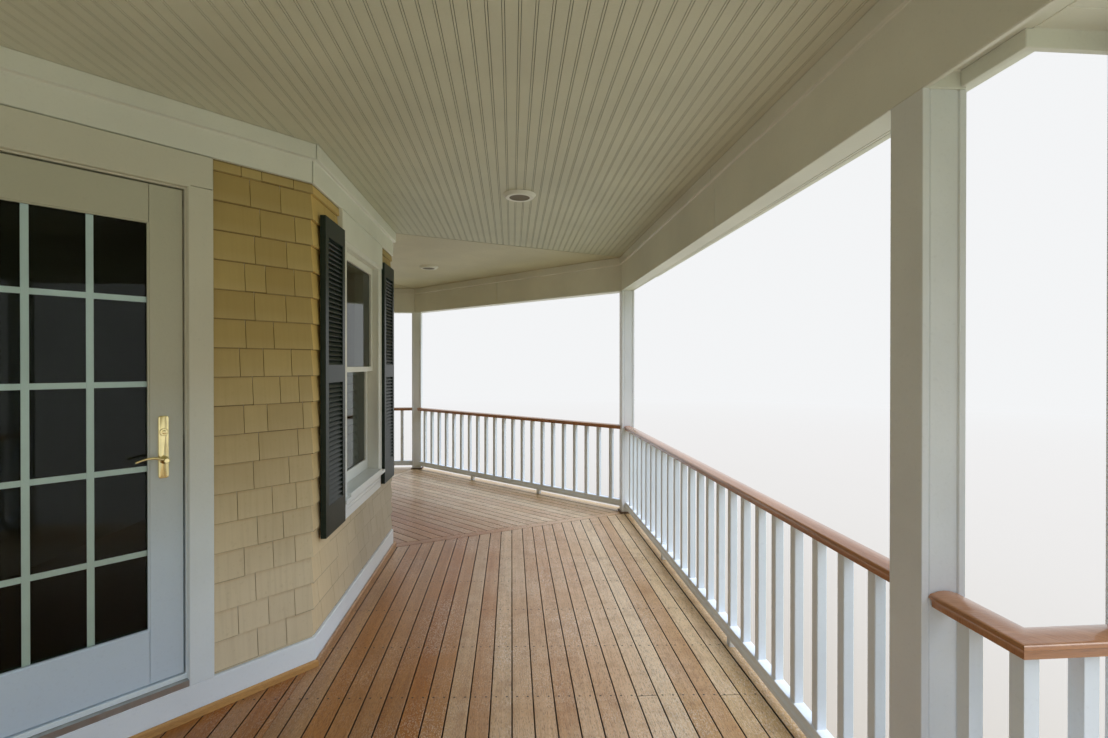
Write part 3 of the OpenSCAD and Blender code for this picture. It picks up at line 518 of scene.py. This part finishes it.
def wallNorth(x):  # where the house stands, going north from the south edge
    if x < round(wallHalf, 4):
        return -bay
    return x - slantEnd if x < bay else x * halfTan


borderIn, entryIn, entryTurn = (plan[k] - floorBoards["border"] for k in ("deckEdge", "entryEdge", "entryNorth"))
slip = floorBoards["seamHalf"] / halfCos


def eastEnds(x):
    low = -borderIn + floorBoards["gap"]
    if x > borderIn - 0.001:
        return low, entryTurn - floorBoards["gap"]
    return low, wallNorth(x) - (slip if x >= bay else 0)


def borderStrip(piece, points, inner):  # mitred boards along an outer edge
    for four in zip(points, points[1:], inner, inner[1:]):
        a, b, c, d = (Vector((*p, 0)) for p in four)
        place = middle @ move(*a) @ spin(atan2(b.y - a.y, b.x - a.x))
        length, back = (b - a).length, place.inverted()
        made = addBlock(piece, place, (0, 0, boardLow), (length, 1, deckTop), 0.85)
        near, end = back @ (middle @ c), back @ (middle @ d)
        moveLocal(made, place, lambda p: p if p.y < 0.5 else
                  ((near.x if p.x < length / 2 else end.x), near.y, p.z))


def ring(reach, entryReach, north):
    return [(reach, reach * halfTan), (reach, north), (entryReach, north), (entryReach, -reach), (0.0, -reach)]


def corners(reach):
    return [(reach, reach * halfTan), (reach * halfTan, reach), (0.0, reach)]


def finishDeck(name, piece, node):
    easeEdges(piece, floorBoards["round"], 2, lambda e: all(v.co.z > deckTop - 0.001 for v in e.verts))
    finishPiece(name, piece, "deck", (node,))


piece = newPiece()
rows = gridRows(0.0, borderIn - floorBoards["gap"], (round(wallHalf, 4), bay))
rows += gridRows(borderIn, entryIn - floorBoards["gap"])
layRows(piece, middle, rows, eastEnds, (-4, -5, -6), ((3.775, -3), (4.13, -3)))
borderStrip(piece, ring(plan["deckEdge"], plan["entryEdge"], plan["entryNorth"]),
            ring(borderIn, entryIn, entryTurn))
seamSide = floorBoards["seamHalf"] - floorBoards["seamGap"]
for side in (0, 1):  # the boards on the two corner lines
    addBlock(piece, middle @ spin(plan["half"] + side * plan["turn"]),
             (bay / halfCos - floorBoards["seamIn"], -seamSide, boardLow),
             (borderIn / halfCos - floorBoards["seamOut"], seamSide, deckTop))
finishDeck("deckBoards", piece, "deck_east")
piece = newPiece()
rows = gridRows(bay, borderIn - floorBoards["gap"])
layRows(piece, sideFrame(1), rows, lambda x: (-x * halfTan + slip, x * halfTan - slip))
layRows(piece, sideFrame(2), rows, lambda x: (-x * halfTan + slip, 0.0))
borderStrip(piece, corners(plan["deckEdge"]), corners(borderIn))
finishDeck("deckBoardsNortheast", piece, "deck_northeast")
print("porch floor laid")

# ---- strips of wood where the skirting meets the floor

shoeStrip = {"high": 0.034, "deep": 0.02, "reach": 0.0245, "foot": 0.0005, "round": 0.012}
for sides, name, key in (((-2, -1), "baseStripsDoor", "shoe"), ((0, 1, 2), "baseStripsWindow", "deck")):
    piece = newPiece()
    for side in sides:
        reach = bay + shoeStrip["reach"]
        place = sideFrame(side) @ move(reach, 0, deckTop) @ quarter
        low = -reach * halfTan if side != -2 else 0.0
        high = reach * halfTan if side != 2 else 0.0
        made = addBlock(piece, place, (low, -shoeStrip["deep"], shoeStrip["foot"]),
                        (high, 0, shoeStrip["high"]), 0.8)
        moveLocal(made, place, lambda p: (p.x + copysign(-p.y * halfTan, p.x) if abs(p.x) > 0.01 else p.x,
                                          p.y, p.z))
    easeEdges(piece, shoeStrip["round"], 3, lambda e: all(
        v.co.z > deckTop + 0.03 and (v.co.xy - middle.translation.xy).length > bay + 0.03 for v in e.verts))
    finishPiece(name, piece, key)

# ---- shingled walls

standing = Matrix(((0, 0, 1, 0), (0, -1, 0, 0), (1, 0, 0, 0), (0, 0, 0, 1)))  # up the wall, across, out


def lessHoles(areas, holes):
    for y0, y1, z0, z1 in holes:
        kept = []
        for a, b, c, d in areas:
            if b <= y0 or a >= y1 or d <= z0 or c >= z1:
                kept.append((a, b, c, d))
                continue
            if a < y0:
                kept.append((a, y0, c, d))
            if b > y1:
                kept.append((y1, b, c, d))
            a, b = max(a, y0), min(b, y1)
            if c < z0:
                kept.append((a, b, c, z0))
            if d > z1:
                kept.append((a, b, z1, d))
        areas = kept
    return [r for r in areas if r[1] - r[0] > 0.006 and r[3] - r[2] > 0.004]


def courseEnds(low, high, marks, before):  # where the shingles of one course end; marks are known joints
    size, ends, tries = wallShingles, [low], 0
    if marks:  # one more joint goes before the known ones
        marks = (marks[0] - size["before"] if marks[0] < 0 else size["doorSide"], *marks)
    for target in [m for m in marks if low < m < high] + [high]:
        while target - ends[-1] > size["wide"]:
            step = ends[-1] + random.uniform(size["narrow"], min(size["wide"], target - ends[-1] - size["narrow"]))
            tries += 1
            if tries % 6 == 0 or all(abs(step - b) > size["apart"] for b in before):
                ends.append(step)
        ends.append(target)
    return ends


def shingleWall(name, base, low, high, holes, marks=(), key="shingle", bottom=plan["skirtTop"] + 0.0005):
    piece = newPiece()
    size, top, ends, marks = wallShingles, plan["wallTop"], [], dict(enumerate(marks))
    for course in range(-1, 40):
        butt = size["start"] + course * size["course"]
        if butt + size["course"] <= bottom or butt >= top:
            continue
        ends = courseEnds(low, high, marks.get(course, ()), ends)
        for y, end in zip(ends, ends[1:]):
            wobble, tone = random.uniform(*size["wobble"]), random.random()
            area = (y + (size["gap"] if y > low else 0), end, max(butt, bottom),
                    min(butt + size["course"] + size["lap"], top))
            for a, b, c, d in lessHoles([area], holes):
                place = base @ move(0, (a + b) / 2, butt) @ standing
                made = addBlock(piece, place, (c - butt if c > butt else wobble, -(b - a) / 2, 0),
                                (d - butt, (b - a) / 2, 1), tone)

                def wedge(p):  # thick at the butt, thin above, and mitred at the bay's corners
                    if p.z < 0.5:
                        return p
                    out = size["butt"] + (size["top"] - size["butt"]) * min(max(p.x / size["course"], 0), 1.05)
                    y = -p.y
                    if b == high == wallHalf and y > 0:
                        y += out * halfTan
                    if a == low == -wallHalf and y < 0:
                        y -= out * halfTan
                    return (p.x, -y, out)
                moveLocal(made, place, wedge)
    finishPiece(name, piece, key)


# joints by course, from the skirting up, on the strip beside the door and under the window
doorMarks = ((0.6375, 0.7675), (0.555, 0.686, 0.8075), (0.629,), (0.581, 0.7075, 0.81), (0.6375, 0.754),
    (0.5525, 0.704, 0.816), (0.621, 0.7825), (0.645, 0.825), (0.581, 0.6825, 0.85), (0.619, 0.741, 0.83),
    (0.564, 0.666, 0.794), (0.589, 0.7125), (0.6275, 0.769), (0.586, 0.676, 0.809), (0.629, 0.7725),
    (0.6525, 0.8125), (0.609, 0.744), (0.57, 0.6575, 0.804))
windowMarks = ((-0.565, -0.381, -0.0125), (-0.62, -0.503), (-0.3125, 0.035))
# the parts of the walls that stay bare: a span along the wall and one of heights
hidden = (-9, 9, plan["friezeLow"] + 0.001, 3.24)  # between frieze and roof space
doorHole = (plan["doorShift"] - 0.501, plan["doorShift"] + 0.501, 0, 3.1)
windowHoles = ((-0.48, 0.48, 1.296, 3.1), (-0.468, 0.468, 1.186, 1.3))
for name, side, low, high, *more in (
        ("Door", -1, -wallHalf, wallHalf, (hidden, doorHole), doorMarks),
        ("Window", 0, -wallHalf, wallHalf, (hidden, *windowHoles), windowMarks, "sideShingle"),
        ("Northeast", 1, -wallHalf, wallHalf, (hidden,)), ("North", 2, -wallHalf, 0, (hidden,)),
        ("South", -2, 0, wallHalf, (hidden,))):
    shingleWall("shingles" + name + "Wall", sideFrame(side, bay), low, high, *more)
for sign, name in ((1, "North"), (-1, "South")):
    low, high = sorted((sign * bay, sign * plan["postLine"]))
    shingleWall("shinglesHouse" + name, middle, low, high, (hidden,))
    low, high = sorted((sign * plan["beamOut"], sign * plan["wallEnd"]))
    shingleWall("shinglesOuter" + name, middle, low, high, ((-9, 9, 2.95, 3.2),), bottom=0.74)
print("walls shingled")

# ---- beaded ceilings

bead = {"pitch": 0.0517, "deep": 0.0075, "thick": 0.012, "edge": 0.003, "seam": 0.006,
    "steps": ((0.0, 0), (0.0405, 0), (0.0411, 1), (0.0419, 1), (0.0425, 0), (0.0492, 0), (0.0498, 1),
    (0.0507, 1), (0.0513, 0))}


def beadedSheet(piece, base, start, stop, ends):
    count, level = ceil((stop - start) / bead["pitch"]), plan["ceiling"]
    columns = [(start + i * bead["pitch"] + x, z) for i in range(count) for x, z in bead["steps"]]
    columns = [c for c in columns if c[0] < stop - 0.0005] + [(stop, 0)]
    made = bmesh.ops.create_grid(piece, x_segments=len(columns) - 1, y_segments=1, size=0.5)["verts"]
    for vert in made:
        x, z = columns[round((vert.co.x + 0.5) * (len(columns) - 1))]
        low, high = ends(x)
        vert.co = base @ Vector((x, high if vert.co.y > 0 else low, level + z * bead["deep"]))
    grown = bmesh.ops.extrude_face_region(piece, geom=facesOf(made))["geom"]
    for vert in (g for g in grown if isinstance(g, bmesh.types.BMVert)):
        vert.co.z = level + bead["thick"]


inner, seam = plan["beamIn"] - bead["edge"], bead["seam"]
piece = bmesh.new()
beadedSheet(piece, middle, 0.0, bay, lambda x: (-inner, wallNorth(x - 0.0001) - 0.001))
beadedSheet(piece, middle, bay, inner, lambda x: (-inner, x * halfTan - seam))
finishPiece("beadedCeiling", piece, "ceiling", ("ceiling_east",))
piece = bmesh.new()
beadedSheet(piece, sideFrame(1), bay, inner, lambda x: (-x * halfTan + seam, x * halfTan - seam))
beadedSheet(piece, sideFrame(2), bay, inner, lambda x: (-x * halfTan + seam, 0.0))
finishPiece("beadedCeilingNortheast", piece, "farCeiling", ("ceiling_northeast",))
print("ceilings beaded")

# ---- roof covering

roofTabs = {"course": 0.142, "width": 0.31, "thick": 0.006, "gap": 0.004, "lift": 0.0035, "lap": 0.012,
    "start": 1.5, "proud": 0.0005, "least": 0.01}
hipTabs = {"course": 0.135, "width": 0.125, "length": 0.15, "thick": 0.006, "proud": 0.013, "curl": 0.004}
pitch = plan["roofPitch"]
roofRise = plan["roofLow"] + plan["roofThick"] / cos(pitch)


def roofCover(name, base, reachEave, spanAt):  # spanAt gives the y range at a plan reach, or nothing
    piece = newPiece()
    step = roofTabs["course"] * cos(pitch)
    for course in range(int((reachEave - roofTabs["start"]) / step) + 2):
        out = reachEave - course * step
        back = max(out - step - roofTabs["lap"], roofTabs["start"])
        span = spanAt((out + back) / 2)
        if back >= out or not span:
            continue
        low, high = span
        y = low - random.uniform(0, roofTabs["width"])
        while y < high:
            a, b = max(y, low), min(y + roofTabs["width"] - roofTabs["gap"], high)
            y += roofTabs["width"]
            if b - a < roofTabs["least"]:
                continue
            centre = (a + b) / 2
            level = roofRise + (plan["beamOut"] - out) * tan(pitch) + roofTabs["proud"]
            place = base @ move(out, centre, level) @ spin(pitch, "Y") @ spin(pi)
            made = addBlock(piece, place, (0, -(b - a) / 2, 0),
                            ((out - back) / cos(pitch), (b - a) / 2, roofTabs["thick"]))

            def trim(p):  # ends follow the hips, and the lower edge stands off the course below
                y, edges = centre - p.y, spanAt(out - p.x * cos(pitch))
                if edges and edges[1] > a - 0.4 and edges[0] < b + 0.4:
                    if b == high and y > centre:
                        y = edges[1]
                    if a == low and y < centre:
                        y = edges[0]
                return (p.x, centre - y, p.z + (roofTabs["lift"] if p.x < 0.03 else 0))
            moveLocal(made, place, trim)
    finishPiece(name, piece, "roof")


def eastSpan(x):
    if x > plan["eave"]:
        return -plan["eave"], plan["bumpNorth"]
    if x > bay:
        return -x, x * halfTan
    return (-x, x - slantEnd) if x > plan["roofStart"] else None


def southSpan(x):  # in the frame of the south side, y grows to the east
    if x > bay:
        return 0.0, x
    return (slantEnd - x, x) if x > plan["roofStart"] else None


roofCover("roofCoverEast", sideFrame(0), plan["entryEave"], eastSpan)
roofCover("roofCoverSouth", sideFrame(-2), plan["eave"], southSpan)
roofCover("roofCoverNortheast", sideFrame(1), plan["eave"],
          lambda x: (-x * halfTan, x * halfTan) if x > bay else None)
roofCover("roofCoverNorth", sideFrame(2), plan["eave"], lambda x: (-x * halfTan, 0.0) if x > bay else None)


def hipCaps(piece, heading, cornerHalf, start, stop):  # folded tabs from the eave up to the wall
    fall = tan(pitch) * cos(cornerHalf)
    slopeWay = atan(fall)
    lean = atan(tan(pitch) * sin(cornerHalf) * cos(slopeWay))
    for i in range(int((stop - start) / hipTabs["course"])):
        out = stop - i * hipTabs["course"]
        level = roofRise + plan["beamOut"] * tan(pitch) - out * fall + hipTabs["proud"]
        for flip in (-1, 1):
            place = (middle @ spin(heading) @ move(out, 0, level) @ spin(slopeWay, "Y")
                     @ spin(-flip * lean, "X") @ spin(pi))
            low, high = sorted((0.0, -flip * hipTabs["width"]))
            made = addBlock(piece, place, (0.0, low, 0), (hipTabs["length"], high, hipTabs["thick"]))
            moveLocal(made, place, lambda p: (p.x, p.y, p.z + hipTabs["curl"] * (1 if p.x < 0.03 else -1)))


piece = newPiece()
for side in (0, 1):
    hipCaps(piece, plan["half"] + side * plan["turn"], plan["half"], bay / halfCos,
            plan["eave"] / halfCos - 0.02)
hipCaps(piece, radians(-45), radians(45), bay, plan["eave"] * sqrt(2) - 0.03)
finishPiece("hipCaps", piece, "roof")
print("roof covered")

# ---- painted woodwork, its edges eased

out, along, up = Vector((1, 0, 0)), Vector((0, 1, 0)), Vector((0, 0, 1))
openSides = {"east": 0, "northeast": 1, "north": 2, "south": -2}
# a seam for each change of face: the side of the bay, across which way, and where
cuts = {"door_frame": ((-1, up, 1.8), (-1, along, 0.368), (-1, along, 0.3687)),
    "window_frame": ((0, up, 2.07),), "window_sashes": ((0, along, 0),),
    **{"railing_" + name: ((side, out, plan["postLine"]),) for name, side in openSides.items()},
    "railing_entry": ((0, out, plan["entryLine"]), (0, along, -2.54), (0, along, -2.242)),
    "shutters": ((0, out, bay + 0.035), (0, along, 0.652), (0, along, -0.652))}
# joints between boards: where, pushed which way, then the faces' spans outwards and in height
ceilingJoint = plan["ceiling"] - 0.002
topBoard, wallTopBoard = ((4.24, 4.258), (3.1, 3.2)), ((2.19, 2.21), (3.1, 3.2))
beamFace, beamFoot = ((4.26, 4.275), (2.8, 3.2)), ((4.26, 4.4), (2.84, 2.86))
casingFace, headFace = ((2.178, 2.19), (2.0, 3.2)), ((2.18, 2.2), (2.1, 3.2))
lines = {"beam_" + name: [(side, up, ceilingJoint, out, *topBoard)] for name, side in openSides.items()}
lines["beam_east"] += [(0, along, -0.762, out, *topBoard, 0.014, 0.006),
    (0, along, -0.787, out, *beamFace, 0.014, 0.006),
    (0, out, 4.364, up, *beamFoot), (0, out, 4.378, up, *beamFoot)]
lines["beam_northeast"] += [(1, along, 0.057, out, *beamFace, 0.012, 0.003)]
lines["entry_header"] = [(0, up, 3.0965, out, (4.63, 4.645), (2.9, 3.2), 0.014, 0.0045),
    (0, up, 3.0965, along, (4.39, 4.65), (2.9, 3.2), 0.014, 0.0045, (-2.58, -2.565))]
lines["wall_trim"] = [(-1, along, 0.893, -out, (2.17, 2.19), (3.0, 3.116), 0.014, 0.0035),
    (-1, along, 0.9025, -out, *wallTopBoard, 0.014, 0.0035)]
lines["wall_trim"] += [(side, up, ceilingJoint, -out, *wallTopBoard) for side in (-2, -1, 0, 1, 2)]
lines["door_frame"] = [(-1, up, 2.858, -out, *casingFace, *fineLine, (0.37, 9)),
    (-1, up, plan["friezeLow"] - 0.003, -out, *casingFace, 0.012, 0.0025)]
lines["window_frame"] = [(0, out, x, along, (2.1, 2.2), (0, 3.2), *fineLine, (0.38, 0.39))
    for x in (2.152, 2.173)]
lines["window_frame"] += [(0, up, 2.811, -out, *headFace), (0, up, 2.826, -out, *headFace),
    (0, up, 2.9925, -out, *headFace, 0.014, 0.004)]
lines["window_frame"] += [(0, up, z, -out, (2.17, 2.19), (1.1, 1.32)) for z in (1.262, 1.238)]
for node, key, ease in (
        ("wall_trim", "trim", 0.003), ("door_frame", "casing", 0.0025), ("window_frame", "trim", 0.0025),
        ("window_sashes", "trim", 0.002), ("posts", "post", 0.0015),
        *(("beam_" + name, "trim", 0.003) for name in openSides), ("entry_header", "trim", 0.002),
        ("eaves", "trim", 0.003), ("step_stringers", "trim", 0.002),
        *(("railing_" + name, "rail", 0.0022) for name in (*openSides, "entry")),
        ("shutters", "shutter", 0.0016), ("window_blind", "blind", 0.0015)):
    piece = nodePiece(node, cuts.get(node, ()))
    easeEdges(piece, ease)
    for line in lines.get(node, ()):
        scoreLine(piece, *line)
    finishPiece(("blind" if key == "blind" else node.replace("_", "")) + "Eased", piece, key,
                (node,))
print("woodwork eased")

piece = nodePiece("handrails")
grainByIsland(piece)
finishPiece("handrailsVarnished", piece, "handrail", ("handrails",), radians(32))

# ---- steps

steps = {"start": 4.7575, "going": 0.3, "deep": 0.325, "first": 0.16, "thick": 0.038, "gap": 0.002, "risers": 4}
piece = newPiece()
low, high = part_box("step_treads")
for tread in range(1, steps["risers"]):
    x0 = steps["start"] + plan["shift"] + (tread - 1) * steps["going"]
    x1, z1 = x0 + steps["deep"], deckTop * (1 - tread / steps["risers"])
    for a, b in ((x0, x0 + steps["first"]), (x0 + steps["first"], x1)):
        half = (b - a) / 2 - steps["gap"]
        addBlock(piece, move((a + b) / 2, 0, 0) @ quarter, (low.y, -half, z1 - steps["thick"]),
                 (high.y, half, z1))
easeEdges(piece, 0.004, 2)
finishPiece("stepBoards", piece, "border", ("step_treads",))
for node in ("deck_frame", "house_floor", "upper_floor"):
    piece = nodePiece(node)
    grainByIsland(piece)
    finishPiece(node.replace("_", "") + "Wood", piece, "frameWood", (node,))
print("steps and frame made")

# ---- door: leaf, bars between its panes, handle

leaf = {"face": -0.006, "thick": 0.044, "half": 0.395, "low": 0.793, "high": 2.839, "stile": 0.118,
    "glassLow": 1.012, "glassHigh": 2.683, "bar": 0.023, "bead": 0.005, "beadFrom": 0.003, "beadTo": 0.014,
    "let": 0.001, "joint": 0.0014, "upright": (-0.087, 0.094), "level": (1.328, 1.674, 2.021, 2.367),
    "barFrom": -0.0245, "barTo": -0.0195}
doorPlace = sideFrame(-1, bay) @ move(0, plan["doorShift"], 0)
glassHalf, glassLow, glassHigh = leaf["half"] - leaf["stile"], leaf["glassLow"], leaf["glassHigh"]
outFace, inFace = leaf["face"], leaf["face"] - leaf["thick"]


def fourBars(x0, x1, outer, inner, across, levels):  # two uprights, and two rails between them
    for sign in (-1, 1):
        a, b = sorted((sign * outer, sign * inner))
        addBlock(piece, doorPlace, (x0, a, levels[0]), (x1, b, levels[3]))
    for a, b in (levels[:2], levels[2:]):
        addBlock(piece, doorPlace, (x0, -across, a), (x1, across, b))


piece = newPiece()
joint, bead1, into = leaf["joint"] / 2, leaf["bead"], leaf["let"]
fourBars(inFace, outFace, leaf["half"], glassHalf + joint, glassHalf - joint,
         (leaf["low"], glassLow, glassHigh, leaf["high"]))
easeEdges(piece, 0.0018)
for x0, x1 in ((outFace - leaf["beadTo"], outFace - leaf["beadFrom"]),
               (inFace + leaf["beadFrom"], inFace + leaf["beadTo"])):  # glazing beads
    fourBars(x0, x1, glassHalf + into, glassHalf - bead1, glassHalf - bead1,
             (glassLow - into, glassLow + bead1, glassHigh - bead1, glassHigh + into))
finishPiece("doorLeafJoined", piece, "leaf", ("door_leaf",), body="door")

piece = newPiece()
x0, x1, wide = leaf["face"] + leaf["barFrom"], leaf["face"] + leaf["barTo"], leaf["bar"] / 2
for y in leaf["upright"]:
    addBlock(piece, doorPlace, (x0, y - wide, glassLow), (x1, y + wide, glassHigh))
sides = [-glassHalf] + [y + sign * wide for y in leaf["upright"] for sign in (-1, 1)] + [glassHalf]
for z in leaf["level"]:
    for a, b in zip(sides[::2], sides[1::2]):
        addBlock(piece, doorPlace, (x0, a, z - wide), (x1, b, z + wide))
easeEdges(piece, 0.001)
finishPiece("doorBars", piece, "bars", body="door")

for name, key, x0, x1, gone in (("doorPaneFront", "clear", -0.0192, -0.016, ("door_glass",)),
                                ("doorPaneBack", "dark", -0.028, -0.0248, ())):
    piece = newPiece()
    addBlock(piece, doorPlace, (leaf["face"] + x0, -glassHalf, glassLow),
             (leaf["face"] + x1, glassHalf, glassHigh))
    finishPiece(name, piece, key, gone, body="door")

# the turned parts: at which height, how many facets, then each ring's distance from the plate and its radius
handle = {"y": 0.324, "plateLow": 1.631, "plateHigh": 1.889, "width": 0.036, "thick": 0.008, "corner": 0.009,
    "rim": 0.0024, "lever": 1.708, "lock": 1.822, "reach": 0.107, "stand": 0.036, "steps": 14, "turned": (
    ("lock", 24, ((-0.001, 0.0155), (0.004, 0.0155), (0.006, 0.0135), (0.0062, 0.009))),
    ("lock", 20, ((0.006, 0.0085), (0.0105, 0.0085), (0.0115, 0.007))),
    ("lever", 24, ((-0.001, 0.0165), (0.006, 0.0165), (0.011, 0.0095), (0.030, 0.0085),
    (0.042, 0.011), (0.045, 0.0085))))}


def tube(points, radii, turns):  # a swept round bar through points, closed at both ends
    rings = []
    for i, point in enumerate(points):
        ahead = points[min(i + 1, len(points) - 1)] - points[max(i - 1, 0)]
        facing = ahead.to_track_quat("Z", "Y").to_matrix().to_4x4()
        rings.append(bmesh.ops.create_circle(piece, segments=turns, radius=radii[i],
                                             matrix=move(*point) @ facing)["verts"])
    for pair in zip(rings, rings[1:]):
        bmesh.ops.bridge_loops(piece, edges=[e for r in pair for e in edgesOf(r) if all(v in r for v in e.verts)])
    for r in (rings[0], rings[-1]):
        bmesh.ops.contextual_create(piece, geom=r)


piece = bmesh.new()
thick, low, high = handle["thick"], handle["plateLow"], handle["plateHigh"]
for flip in (1, -1):
    base = doorPlace @ move(outFace if flip > 0 else inFace, handle["y"], 0) @ Matrix.Diagonal((flip, 1, 1, 1))
    back = base.inverted()
    made = bmesh.ops.create_cube(piece, size=1, matrix=base @ move(thick / 2, 0, (low + high) / 2)
                                 @ Matrix.Diagonal((thick, handle["width"], high - low, 1)))["verts"]
    bevel(piece, [e for e in edgesOf(made) if abs((back @ e.verts[0].co - back @ e.verts[1].co).x) > thick / 2],
          handle["corner"], 4)
    bevel(piece, [e for e in piece.edges if all(thick - 0.0002 < (back @ v.co).x < thick + 0.001 for v in e.verts)],
          handle["rim"], 2)
    for part, turns, profile in handle["turned"]:
        tube([base @ Vector((thick + x, 0, handle[part])) for x, radius in profile],
             [radius for x, radius in profile], turns)
    shares = [i / handle["steps"] for i in range(handle["steps"] + 1)]  # the lever, a wave that tapers
    tube([base @ Vector((thick + handle["stand"] - 0.006 * sin(s * pi), 0.004 - handle["reach"] * s,
                         handle["lever"] + 0.012 * sin(s * pi) + 0.003 * s)) for s in shares],
         [0.0064 - 0.0028 * s + (0.0012 if s > 0.9 else 0) for s in shares], 12)
finishPiece("handleBrass", piece, "brass", ("door_handle",), radians(40), "door")
print("door made")

# ---- lamps

lamps = {"radius": 0.0655, "recess": 0.0011, "thick": 0.0007, "spots": ((0, 1.053, -0.195), (1, 1.165, 0.155))}
piece = bmesh.new()
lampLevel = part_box("ceiling_lights")[0].z
for side, x, y in lamps["spots"]:
    spot = sideFrame(side, bay + x) @ move(0, y, lampLevel + lamps["recess"])
    shell = bmesh.ops.create_circle(piece, cap_ends=True, segments=48, radius=lamps["radius"], matrix=spot)["verts"]
    bmesh.ops.extrude_face_region(piece, geom=facesOf(shell))
    for vert in shell:
        vert.co.z += lamps["thick"]
finishPiece("lampLenses", piece, "lens")

# ---- finishes of the nodes that stay

for key, nodes in {"concrete": ("foundation", "piers"), "sill": ("door_sill",), "brass": ("door_hinges",),
                   "plaster": ("house_wall", "north_wall", "northeast_wall", "window_wall", "south_wall",
                               "door_wall_right", "door_wall_left", "door_wall_head"),
                   "glass": ("window_glass",), "shoeMetal": ("post_bases",), "trim": ("ceiling_lights",),
                   "roof": ("roof_east", "roof_south", "roof_northeast")}.items():
    for node in nodes:
        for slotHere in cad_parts[node].material_slots:
            slotHere.material = finish[key]
print("finishes laid on")

# ---- floor, light and camera

studio = {"size": 60, "backdrop": (0.90, 0.91, 0.92, 1), "floor": (0.53, 0.445, 0.345),
    "bounce": (0.41, 0.395, 0.235), "fadeFrom": 9, "fadeTo": 30, "skyLight": (0.65, 0.85, 1.22),
    "skyLevel": 1.6, "lowLight": (0.84, 0.78, 0.54), "lowLevel": 0.42, "skyFrom": 0.03, "skyTo": 0.45,
    "sunLevel": 2.3, "sunSpread": radians(48), "sunColour": (1.0, 0.99, 0.97), "sunPlace": (8.8, -4.5, 13.8)}
scene = bpy.context.scene


def seenRays(tree):  # what the camera, metal and glass see straight
    path = addNode("LightPath", tree=tree).outputs
    return maths("MAXIMUM", path["Is Camera Ray"],
                 maths("MAXIMUM", path["Is Glossy Ray"], path["Is Transmission Ray"]))


def blendShaders(share, first, second):
    return addNode("MixShader", {0: share, 1: first.outputs[0], 2: second.outputs[0]}).outputs[0]


piece = bmesh.new()
bmesh.ops.create_grid(piece, x_segments=1, y_segments=1, size=studio["size"])
mesh = bpy.data.meshes.new("studioFloor")
piece.to_mesh(mesh)
piece.free()
studioFloor = bpy.data.objects.new("studioFloor", mesh)
scene.collection.objects.link(studioFloor)
floorPaint, tree, shader = newMaterial("studioFloorPaint", 0.9)
tree.links.new(mix(seenRays(tree), studio["bounce"], studio["floor"]), shader.inputs["Base Color"])
far = addNode("VectorMath", {0: coordinate(tree)}, operation="LENGTH").outputs["Value"]
fade = maths("MULTIPLY", remap(far, studio["fadeFrom"], studio["fadeTo"]), seenRays(tree))
glow = addNode("Emission", {"Color": studio["backdrop"], "Strength": 1.0}, tree)
tree.links.new(blendShaders(fade, shader, glow), tree.nodes["Material Output"].inputs["Surface"])
mesh.materials.append(floorPaint)

scene.world = bpy.data.worlds.new("studio")
scene.world.use_nodes = True
tree = scene.world.node_tree
tree.nodes.clear()
rise = remap(split(coordinate(tree, "Generated"))[2], studio["skyFrom"], studio["skyTo"])
soft = addNode("Background", {
    "Color": mix(rise, studio["lowLight"], studio["skyLight"]),
    "Strength": remap(rise, 0, 1, studio["lowLevel"], studio["skyLevel"])})
shown = addNode("Background", {"Color": studio["backdrop"], "Strength": 1.0}, tree)
addNode("OutputWorld", {0: blendShaders(seenRays(tree), soft, shown)})

data = bpy.data.lights.new("softSun", "SUN")
data.energy, data.angle, data.color = studio["sunLevel"], studio["sunSpread"], studio["sunColour"]
sun = bpy.data.objects.new("softSun", data)
sun.location = studio["sunPlace"]
sun.rotation_euler = (-sun.location).to_track_quat("-Z", "Y").to_euler()
scene.collection.objects.link(sun)
view = {"place": (1.102, -3.7025, 2.1), "yaw": 4.44, "pitch": 0.24, "pixels": 545.5, "width": 1108,
    "sensor": 36.0, "shiftDown": -0.0017, "near": 0.02, "far": 200}
data = bpy.data.cameras.new("porchView")
data.sensor_width, data.lens = view["sensor"], view["sensor"] * view["pixels"] / view["width"]
data.shift_y, data.clip_start, data.clip_end = view["shiftDown"], view["near"], view["far"]
camera = bpy.data.objects.new("porchView", data)
camera.location = view["place"]
camera.rotation_euler = (radians(90 - view["pitch"]), 0, radians(-view["yaw"]))
scene.collection.objects.link(camera)
scene.camera = camera
scene.view_settings.view_transform = "Standard"
print("light and camera set")
